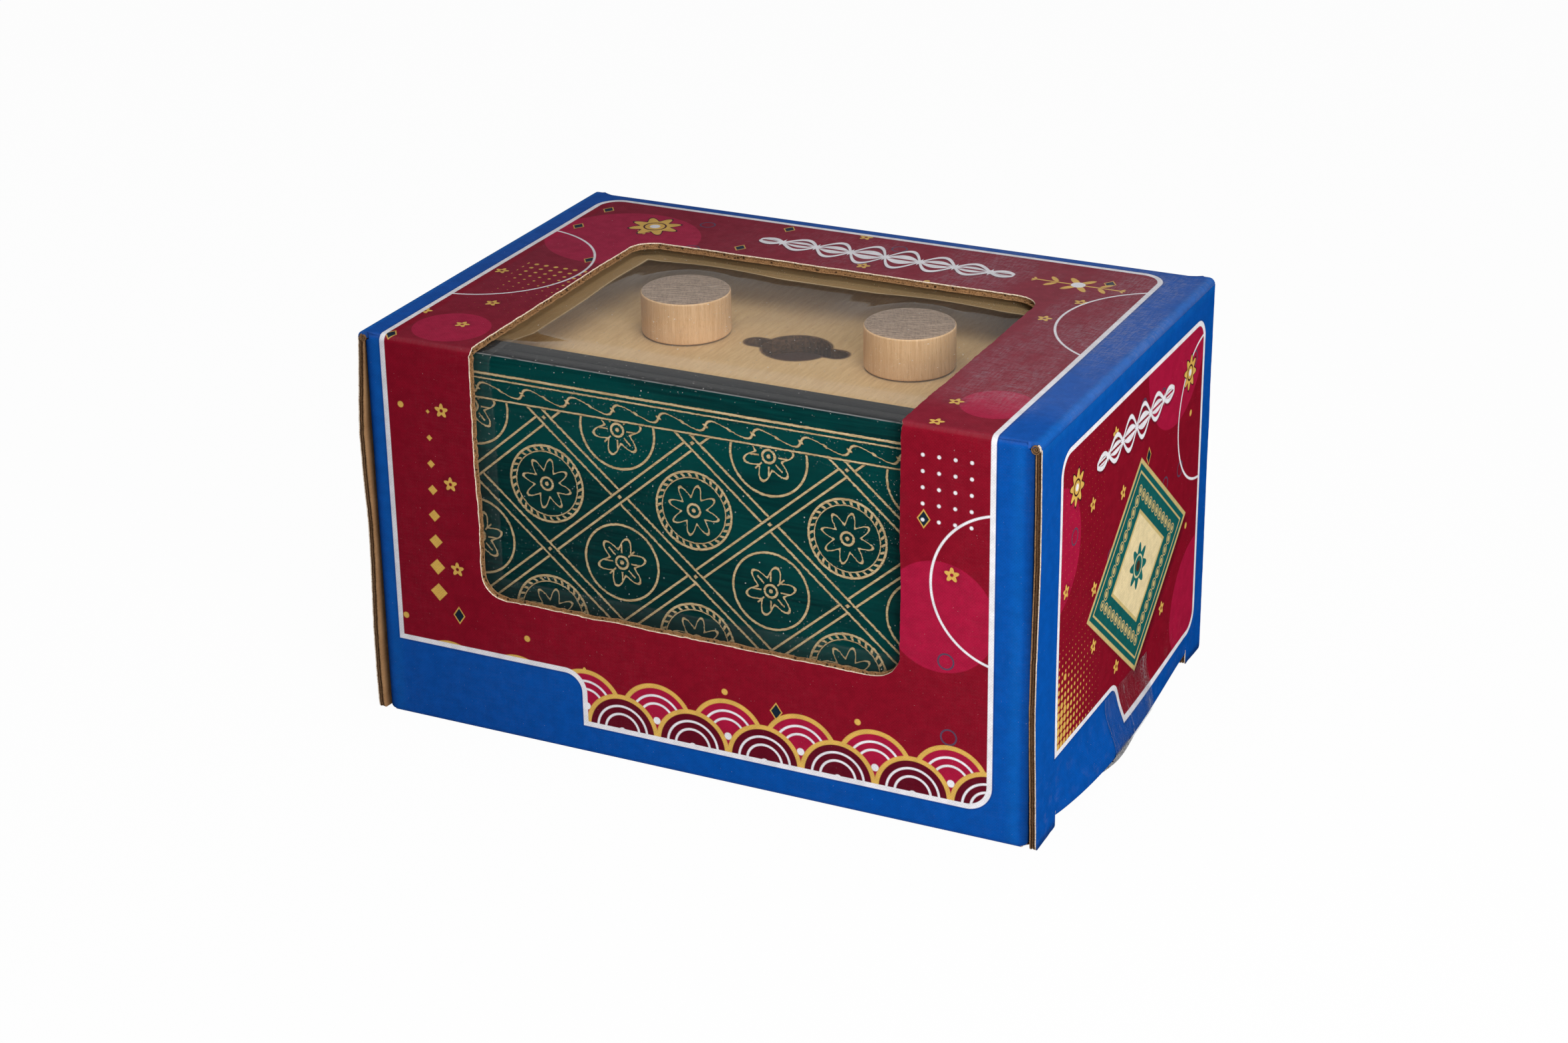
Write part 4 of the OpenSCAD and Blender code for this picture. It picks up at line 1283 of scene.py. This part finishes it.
def make_end_flap(look, side, name, printed):
    """The end of the carton that hangs from the top: side is 1 on the right, -1 on the left."""
    points, radii = end_flap_outline(look)
    if side < 0:
        points = mirrored(points)
        radii = radii[::-1]
    outline = ragged(finer(corner_round(points, radii), 1.2 * MM), look.ragged * 0.7, 5.0 + side)
    outline = [(u, HINGE_Z if v > HINGE_Z - 0.3 * MM else v) for u, v in outline]
    cuts_v = steps_between(TUCK_Z - curl_length(look), TUCK_Z, 5)[1:]
    cuts_v += steps_between(TUCK_Z + 1.4 * MM, 18.0 * MM, 9)
    cuts_v += steps_between(24.0 * MM, 88.0 * MM, 9)
    cuts_u = steps_between(-52.0 * MM, 52.0 * MM, 34)
    bm = board_blank(look, outline, [], cuts_u, cuts_v, 0,
                     crease=lambda u, v: v > HINGE_Z - 0.02 * MM)
    face_x = FLAP_HIGH.x
    loose, wavy = 26.0 * MM, 0.35 * MM

    def place(u, v, depth):
        y = u * side
        drop = clamp((FLAP_HIGH.z - v) / FLAP_HIGH.z)
        near = max(0.0, 1.0 - (y + FLAP_HIGH.y) / loose)
        if side < 0:
            hang = min(1.0, drop * 4.0)
            out = look.flare * near * near * hang + wavy * near * math.sin(drop * 9.0) * hang
        else:
            out = wavy * near * near * math.sin(drop * 7.0 + 0.5) * min(1.0, drop * 3.0)
        out += 0.1 * MM * drift(25.0, y, v, side)
        if BELLY_FRONT < y < BELLY_REAR:
            belly = tuck_bulge(y, v) * (1.0 if side > 0 else 0.4)
            if v < TUCK_Z:
                turn = (TUCK_Z - v) / look.board
                arm = look.board - depth
                reach = face_x - look.board + arm * math.cos(turn) + belly * tucked_under(turn)
                return Vector((side * reach, y, TUCK_Z - arm * math.sin(turn)))
            out = out * min(1.0, (v - TUCK_Z) / BELLY_HIGH) + belly
        return Vector((side * (face_x - depth + out), y, v))

    bend_board(bm, place)
    return settle(f"{name}_end_panel", bm, f"{name}_end_flap",
                  board_materials(look, printed), [f"{name}_end_flap"])


def make_dust_flap(look, side, rear, name, printed):
    """A flap behind an end flap: rear is 1 for the one at the back."""
    low, high = DUST_LOW, DUST_HIGH
    points = [(low.y, low.z), (high.y - 1.5 * MM, low.z), (high.y, low.z + 1.5 * MM),
              (high.y, high.z - high.y + low.y), (low.y, high.z)]
    if rear * side > 0:
        points = mirrored(points)
    outline = ragged(finer(points, 1.5 * MM), look.ragged * 0.5, 9.0 + side + 2 * rear)
    cuts = steps_between(-50.0 * MM, 50.0 * MM, 10)
    bm = board_blank(look, outline, [], cuts, steps_between(15 * MM, 85 * MM, 7), 1)
    sag = 0.04 * MM

    def place(u, v, depth):
        behind = sag * (1.0 - drift(30.0, u, v, side))
        return Vector((side * (high.x - depth - behind), u * side, v))

    bend_board(bm, place)
    name = f"{name}_{'back' if rear > 0 else 'front'}"
    return settle(f"{name}_dust_panel", bm, f"{name}_dust_flap",
                  board_materials(look, printed), [f"{name}_dust_flap"])


def make_tuck_tab(look, side, name, printed):
    """The tab that goes in under the wooden box."""
    root, tip = TAB_HIGH.x, TAB_LOW.x
    y0, y1 = TAB_LOW.y, TAB_HIGH.y
    taper = (root - tip) / 4
    points = [(y0, root), (y0 + taper / 2, tip + taper), (y0 + 2 * taper, tip),
              (y1 - 2 * taper, tip), (y1 - taper / 2, tip + taper), (y1, root)]
    points = [(u * side, v * side) for u, v in points]
    if signed_area(points) < 0.0:
        points.reverse()
    outline = ragged(finer(points, 1.5 * MM), look.ragged * 0.5, 14.0 + side)
    bm = board_blank(look, outline, [], steps_between(-35 * MM, 35 * MM, 6), [], 0)
    bend_board(bm, lambda u, v, depth: Vector((v, u, TAB_LOW.z + depth)))
    return settle(f"{name}_tuck_panel", bm, f"{name}_tuck_tab",
                  board_materials(look, printed), [f"{name}_tuck_tab"])


def make_tape(look):
    """Clear tape over the tuck crease, bulging where it turns under."""
    y0, y1 = TAPE_LOW.y, TAPE_HIGH.y
    outer = FLAP_HIGH.x - look.board
    lift, wrinkle, bubble, forward = 0.26 * MM, 0.05 * MM, 1.0 * MM, 7.0 * MM
    run = [(0.0, z) for z in steps_between(TAPE_HIGH.z, TUCK_Z, 9)]
    run += [(i * math.pi / 16, TUCK_Z) for i in range(1, 9)]
    run += [(math.pi / 2, TUCK_Z - i * 0.8 * MM) for i in range(1, 5)]
    bm = bmesh.new()
    bmesh.ops.create_grid(bm, x_segments=24, y_segments=len(run) - 1, size=0.5)
    for vert in bm.verts:
        turn, level = run[round((vert.co.y + 0.5) * (len(run) - 1))]
        share = vert.co.x + 0.5
        y = y0 + share * (y1 - y0)
        pull = drift(1.0, turn * 2.0, y * 190.0, level * 60.0)
        lens = bubble * max(0.0, math.sin(math.pi * min(1.0, share / 0.5))) * math.sin(turn)
        arm = look.board + lift + wrinkle * pull + lens
        y -= forward * math.sin(turn) * (1.0 - share)
        under = TUCK_Z - level if turn > 1.5 else 0.0
        belly = tuck_bulge(y, max(level, TUCK_Z)) * tucked_under(turn)
        vert.co = Vector((outer + arm * math.cos(turn) + belly - under, y,
                          (TUCK_Z if under else level) - arm * math.sin(turn)))
    face_out(bm)
    middle = max(bm.faces, key=lambda face: face.calc_center_median().z)
    if middle.normal.x < 0.0:
        bmesh.ops.reverse_faces(bm, faces=bm.faces[:])
    bmesh.ops.subdivide_edges(bm, edges=bm.edges[:], cuts=1, smooth=0.6, use_grid_fill=True)
    return settle("sealing_tape", bm, "right_end_flap", [clear_tape()], ["tape_seal"], 180.0)


# ---------------------------------------------------------------- film, boards and knobs


def make_film(look):
    """One sheet of clear film, hung slack behind the window and bent over the front fold."""
    x0, x1 = FILM_LOW.x, FILM_HIGH.x
    front_y, top_z = FILM_LOW.y, FILM_HIGH.z
    bend = 2.5 * MM
    glued = 0.12 * MM
    rim, slope = 0.8 * MM, 3.6 * MM
    knob_reach = 12.5 * MM
    upright = top_z - bend - FILM_LOW.z
    arc = bend * math.pi / 2
    total = upright + arc + FILM_HIGH.y - front_y - bend
    knobs = [sum(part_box(name), Vector((0.0, 0.0, 0.0))) / 2 for name in ("left_knob", "right_knob")]
    bm = bmesh.new()
    bmesh.ops.create_grid(bm, x_segments=76, y_segments=120, size=0.5)
    for vert in bm.verts:
        x = x0 + (vert.co.x + 0.5) * (x1 - x0)
        along = (vert.co.y + 0.5) * total
        ease = clamp((min(x - x0, x1 - x) - rim) / slope)
        ripple = drift(1.0, x * 28.0, along * 22.0, 4.0)
        if along <= upright:
            hollow = ease * clamp((along - rim) / slope) * min(1.0, (upright - along) / (12.0 * MM))
            y = front_y + glued + hollow * (1.15 + 0.3 * ripple) * MM
            vert.co = Vector((x, y, FILM_LOW.z + along))
        elif along <= upright + arc:
            turn = (along - upright) / bend
            arm = bend - glued
            vert.co = Vector((
                x, front_y + bend - arm * math.cos(turn), top_z - bend + arm * math.sin(turn)))
        else:
            y = front_y + bend + along - upright - arc
            past_rim = clamp((y - LINER_HIGH.y) / (9.0 * MM))
            hollow = ease * past_rim * clamp((FILM_HIGH.y - y - rim) / slope)
            for middle in knobs:
                gap = math.dist((x, y), (middle.x, middle.y)) - knob_reach
                hollow *= clamp(gap / (11.0 * MM)) ** 0.7
            vert.co = Vector((x, y, top_z - hollow * (1.35 + 0.25 * ripple) * MM - glued))
    face_out(bm)
    if sum(face.normal.z for face in bm.faces) < 0.0:
        bmesh.ops.reverse_faces(bm, faces=bm.faces[:])
    return settle("slack_film", bm, "root", [clear_film(look)], ["window_film"], 180.0)


def make_mitred_board(look, name, node, half_front, half_back, materials):
    """An upright plywood board drawn up from its mitred plan, with eased edges."""
    low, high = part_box(node)
    corners = [(-half_front, low.y), (half_front, low.y), (half_back, high.y), (-half_back, high.y)]
    bm = bmesh.new()
    bottom = bm.faces.new([bm.verts.new((x, y, low.z)) for x, y in corners])
    grown = bmesh.ops.extrude_face_region(bm, geom=[bottom], use_keep_orig=True)["geom"]
    bmesh.ops.translate(
        bm, verts=of_kind(grown, bmesh.types.BMVert), vec=(0.0, 0.0, high.z - low.z))
    face_out(bm)
    round_off(bm, bm.edges[:], look.ease, 3)
    for face in bm.faces:
        face.material_index = 1 if face.normal.z > 0.6 else 0
    return settle(name, bm, "root", materials, [node], 30.0)


def make_knob(look, name, materials):
    """A knob turned from its profile, with a softly rounded rim and its blind socket."""
    low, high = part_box(f"{name}_knob")
    radius = (high.x - low.x) / 2
    middle = (low + high) / 2
    socket = 3.05 * MM
    deep = low.z + 7.05 * MM
    profile = [(0.0, high.z), (radius * 0.5, high.z), (radius, high.z), (radius, middle.z),
               (radius, low.z), (socket, low.z), (socket, deep), (0.0, deep)]
    bm = bmesh.new()
    verts = [bm.verts.new((x, 0.0, z)) for x, z in profile]
    edges = [bm.edges.new(pair) for pair in zip(verts, verts[1:])]
    bmesh.ops.spin(
        bm, geom=verts + edges, cent=(0.0, 0.0, 0.0), axis=(0.0, 0.0, 1.0), dvec=(0.0, 0.0, 0.0),
        angle=2 * math.pi, steps=96, use_merge=True, use_duplicate=False)
    bmesh.ops.remove_doubles(bm, verts=bm.verts[:], dist=1e-7)
    face_out(bm)
    rims = [edge for edge in bm.edges
            if all(abs(vert.co.xy.length - radius) < HAIR for vert in edge.verts)
            and abs(edge.verts[0].co.z - edge.verts[1].co.z) < HAIR
            and abs(edge.verts[0].co.z - middle.z) > 1.0 * MM]
    round_off(bm, rims, look.knob_ease, 5)
    for face in bm.faces:
        face.material_index = 1 if abs(face.normal.z) > 0.75 else 0
    bmesh.ops.translate(bm, verts=bm.verts[:], vec=(middle.x, middle.y, 0.0))
    return settle(f"{name}_turned_knob", bm, f"{name}_knob", materials,
                  [f"{name}_knob"], 35.0)


def finish_node(name, material, ease=0.0):
    """Gives a CAD node its finish and, where asked, softly eased edges."""
    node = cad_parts[name]
    if not node.material_slots:
        node.data.materials.append(None)
    for slot in node.material_slots:
        slot.material = material
    if ease:
        weld = node.modifiers.new("weld", "WELD")
        weld.merge_threshold = 2e-6
        eased = node.modifiers.new("eased edges", "BEVEL")
        eased.width = ease
        eased.segments = 2
        eased.limit_method = "ANGLE"
        eased.angle_limit = math.radians(35.0)
        eased.harden_normals = False


# ---------------------------------------------------------------- operators


class SECRETBOX_OT_sleeve(bpy.types.Operator):
    """Build the printed sleeve with its window"""

    bl_idname = "secretbox.sleeve"
    bl_label = "Printed Sleeve"

    def execute(self, context):
        make_sleeve(context.scene.carton_look)
        make_crease_rolls()
        return {"FINISHED"}


class SECRETBOX_OT_end_closure(bpy.types.Operator):
    """Build the end flaps, the dust flaps, the tuck tabs and the tape"""

    bl_idname = "secretbox.end_closure"
    bl_label = "End Closure"

    def execute(self, context):
        look = context.scene.carton_look
        ends = end_print(look)
        bleed = bleed_print(look)
        for side, name in SIDES:
            make_end_flap(look, side, name, ends)
            make_tuck_tab(look, side, name, bleed)
            for rear in (-1, 1):
                make_dust_flap(look, side, rear, name, bleed)
        make_tape(look)
        return {"FINISHED"}


class SECRETBOX_OT_film(bpy.types.Operator):
    """Build the clear film behind the window"""

    bl_idname = "secretbox.film"
    bl_label = "Window Film"

    def execute(self, context):
        make_film(context.scene.carton_look)
        return {"FINISHED"}


class SECRETBOX_OT_wooden_box(bpy.types.Operator):
    """Build the stained boards of the box"""

    bl_idname = "secretbox.wooden_box"
    bl_label = "Stained Box"

    def execute(self, context):
        look = context.scene.box_look
        rim = painted_rim(look)
        carved = stained_ply(look, True)
        plain = stained_ply(look, False)
        half, inside = FRONT_HIGH.x, LINER_HIGH.x
        make_mitred_board(look, "engraved_front", "front_panel", half, inside, [carved, rim])
        make_mitred_board(look, "stained_back", "back_panel", inside, half, [plain, rim])
        make_mitred_board(
            look, "blackened_liner", "front_liner", inside, inside, [rim, rim])
        for side, name in SIDES:
            finish_node(f"{name}_wall", plain, look.ease)
        return {"FINISHED"}


class SECRETBOX_OT_lid(bpy.types.Operator):
    """Finish the lid, its keyhole and the boards inside the box"""

    bl_idname = "secretbox.lid"
    bl_label = "Lid and Boards"

    def execute(self, context):
        look = context.scene.box_look
        pale = bare_ply(look)
        for name in ("lid_board", "base_panel", "front_lid_cleat", "back_lid_cleat", "lock_cover",
                     "left_bolt_guides", "right_bolt_guides"):
            finish_node(name, pale, INNER_EASE)
        finish_node("keyhole_backing", burnt_ply(look), INNER_EASE)
        return {"FINISHED"}


class SECRETBOX_OT_lock(bpy.types.Operator):
    """Turn the knobs and finish the spindles, pinions, bolts and screws"""

    bl_idname = "secretbox.lock"
    bl_label = "Knobs and Lock"

    def execute(self, context):
        look = context.scene.box_look
        knob_wood = [knob_side(look), knob_end(look)]
        for side, name in SIDES:
            make_knob(look, name, knob_wood)
            finish_node(f"{name}_spindle", knob_wood[0])
            finish_node(f"{name}_pinion", bpy.data.materials["bare_ply"])
            finish_node(f"{name}_bolt", bpy.data.materials["bare_ply"])
        finish_node("cover_screws", plated_steel(look))
        return {"FINISHED"}


# ---------------------------------------------------------------- studio


def lamp(name, power, width, place, target):
    """A soft square lamp turned towards a point."""
    data = bpy.data.lights.new(name, "AREA")
    data.energy = power
    data.size = width
    lit = linked(name, data)
    lit.location = place
    lit.rotation_euler = (Vector(target) - Vector(place)).to_track_quat("-Z", "Y").to_euler()


def rays_that_see(finish):
    """1 for the rays that show a thing in the picture, straight or in gloss and glass."""
    path = finish.node("ShaderNodeLightPath")
    return path.of("Is Camera Ray") + path.of("Is Glossy Ray") + path.of("Is Transmission Ray")


def white_room(look):
    """The world and the floor: white where they are seen, soft grey light otherwise."""
    world = bpy.context.scene.world or bpy.data.worlds.new("studio")
    bpy.context.scene.world = world
    sky = Finish("studio", world)
    soft = sky.node("ShaderNodeBackground", {}, {"Color": WHITE, "Strength": look.ambient})
    bright = sky.node("ShaderNodeBackground", {}, {"Color": WHITE, "Strength": 1.0})
    sky.done(sky.blend(rays_that_see(sky).least(1.0), soft, bright), "ShaderNodeOutputWorld")
    ground = Finish("studio_floor")
    matt = ground.node("ShaderNodeBsdfDiffuse", {}, {"Color": (0.7, 0.7, 0.7)})
    glow = ground.node("ShaderNodeEmission", {}, {"Color": WHITE, "Strength": 1.0})
    material = ground.done(ground.blend(rays_that_see(ground).least(0.97), matt, glow))
    bm = bmesh.new()
    bmesh.ops.create_grid(bm, x_segments=1, y_segments=1, size=3.0)
    floor = linked("studio_floor", mesh_from("studio_floor", bm, [material]))
    floor.location.z = -0.02 * MM


def aim_camera(look):
    """The camera, in front of the right end and above, rolled a little."""
    azimuth = math.radians(26.07)
    elevation = math.radians(23.98)
    roll = math.radians(-0.874)
    back = Vector((math.sin(azimuth) * math.cos(elevation),
                   -math.cos(azimuth) * math.cos(elevation), math.sin(elevation)))
    right = Vector((math.cos(azimuth), math.sin(azimuth), 0.0))
    up = back.cross(right)
    across = right * math.cos(roll) + up * math.sin(roll)
    upright = up * math.cos(roll) - right * math.sin(roll)
    data = bpy.data.cameras.new("camera")
    data.lens = look.lens
    data.sensor_width = 36.0
    data.clip_start = 0.01
    camera = linked("camera", data)
    camera.matrix_world = Matrix((across, upright, back)).transposed().to_4x4()
    camera.location = (0.2946, -0.6089, 0.3419)
    bpy.context.scene.camera = camera


class SECRETBOX_OT_stage(bpy.types.Operator):
    """Set the floor, the lamps and the camera"""

    bl_idname = "secretbox.stage"
    bl_label = "Studio"

    def execute(self, context):
        look = context.scene.studio_look
        white_room(look)
        lamp("key_lamp", look.key, 0.3, (0.42, -0.38, 0.3), (0.05, -0.02, 0.05))
        lamp("fill_lamp", look.fill, 0.6, (-0.7, -0.6, 0.35), (0.0, 0.0, 0.05))
        lamp("top_lamp", look.top, 0.5, (0.05, -0.1, 0.7), (0.0, 0.0, 0.05))
        aim_camera(look)
        context.scene.view_settings.view_transform = "Standard"
        return {"FINISHED"}


class SECRETBOX_PT_pieces(bpy.types.Panel):
    """Pieces of the boxed secret box"""

    bl_idname = "SECRETBOX_PT_pieces"
    bl_label = "Boxed Secret Box"
    bl_space_type = "VIEW_3D"
    bl_region_type = "UI"
    bl_category = "Secret Box"

    def draw(self, context):
        for piece in PIECES:
            self.layout.operator(piece.bl_idname)


PIECES = (
    SECRETBOX_OT_stage, SECRETBOX_OT_sleeve, SECRETBOX_OT_end_closure, SECRETBOX_OT_film,
    SECRETBOX_OT_wooden_box, SECRETBOX_OT_lid, SECRETBOX_OT_lock)
LOOKS = {"carton_look": CartonLook, "box_look": BoxLook, "studio_look": StudioLook}


def register():
    for group in LOOKS.values():
        bpy.utils.register_class(group)
    for name, group in LOOKS.items():
        setattr(bpy.types.Scene, name, bpy.props.PointerProperty(type=group))
    for piece in PIECES:
        bpy.utils.register_class(piece)
    bpy.utils.register_class(SECRETBOX_PT_pieces)


def unregister():
    bpy.utils.unregister_class(SECRETBOX_PT_pieces)
    for piece in reversed(PIECES):
        bpy.utils.unregister_class(piece)
    for name, group in LOOKS.items():
        delattr(bpy.types.Scene, name)
        bpy.utils.unregister_class(group)


def main():
    """Builds every piece in order."""
    register()
    bpy.ops.secretbox.stage()
    bpy.ops.secretbox.sleeve()
    bpy.ops.secretbox.end_closure()
    bpy.ops.secretbox.film()
    bpy.ops.secretbox.wooden_box()
    bpy.ops.secretbox.lid()
    bpy.ops.secretbox.lock()


if __name__ == "__main__":
    main()
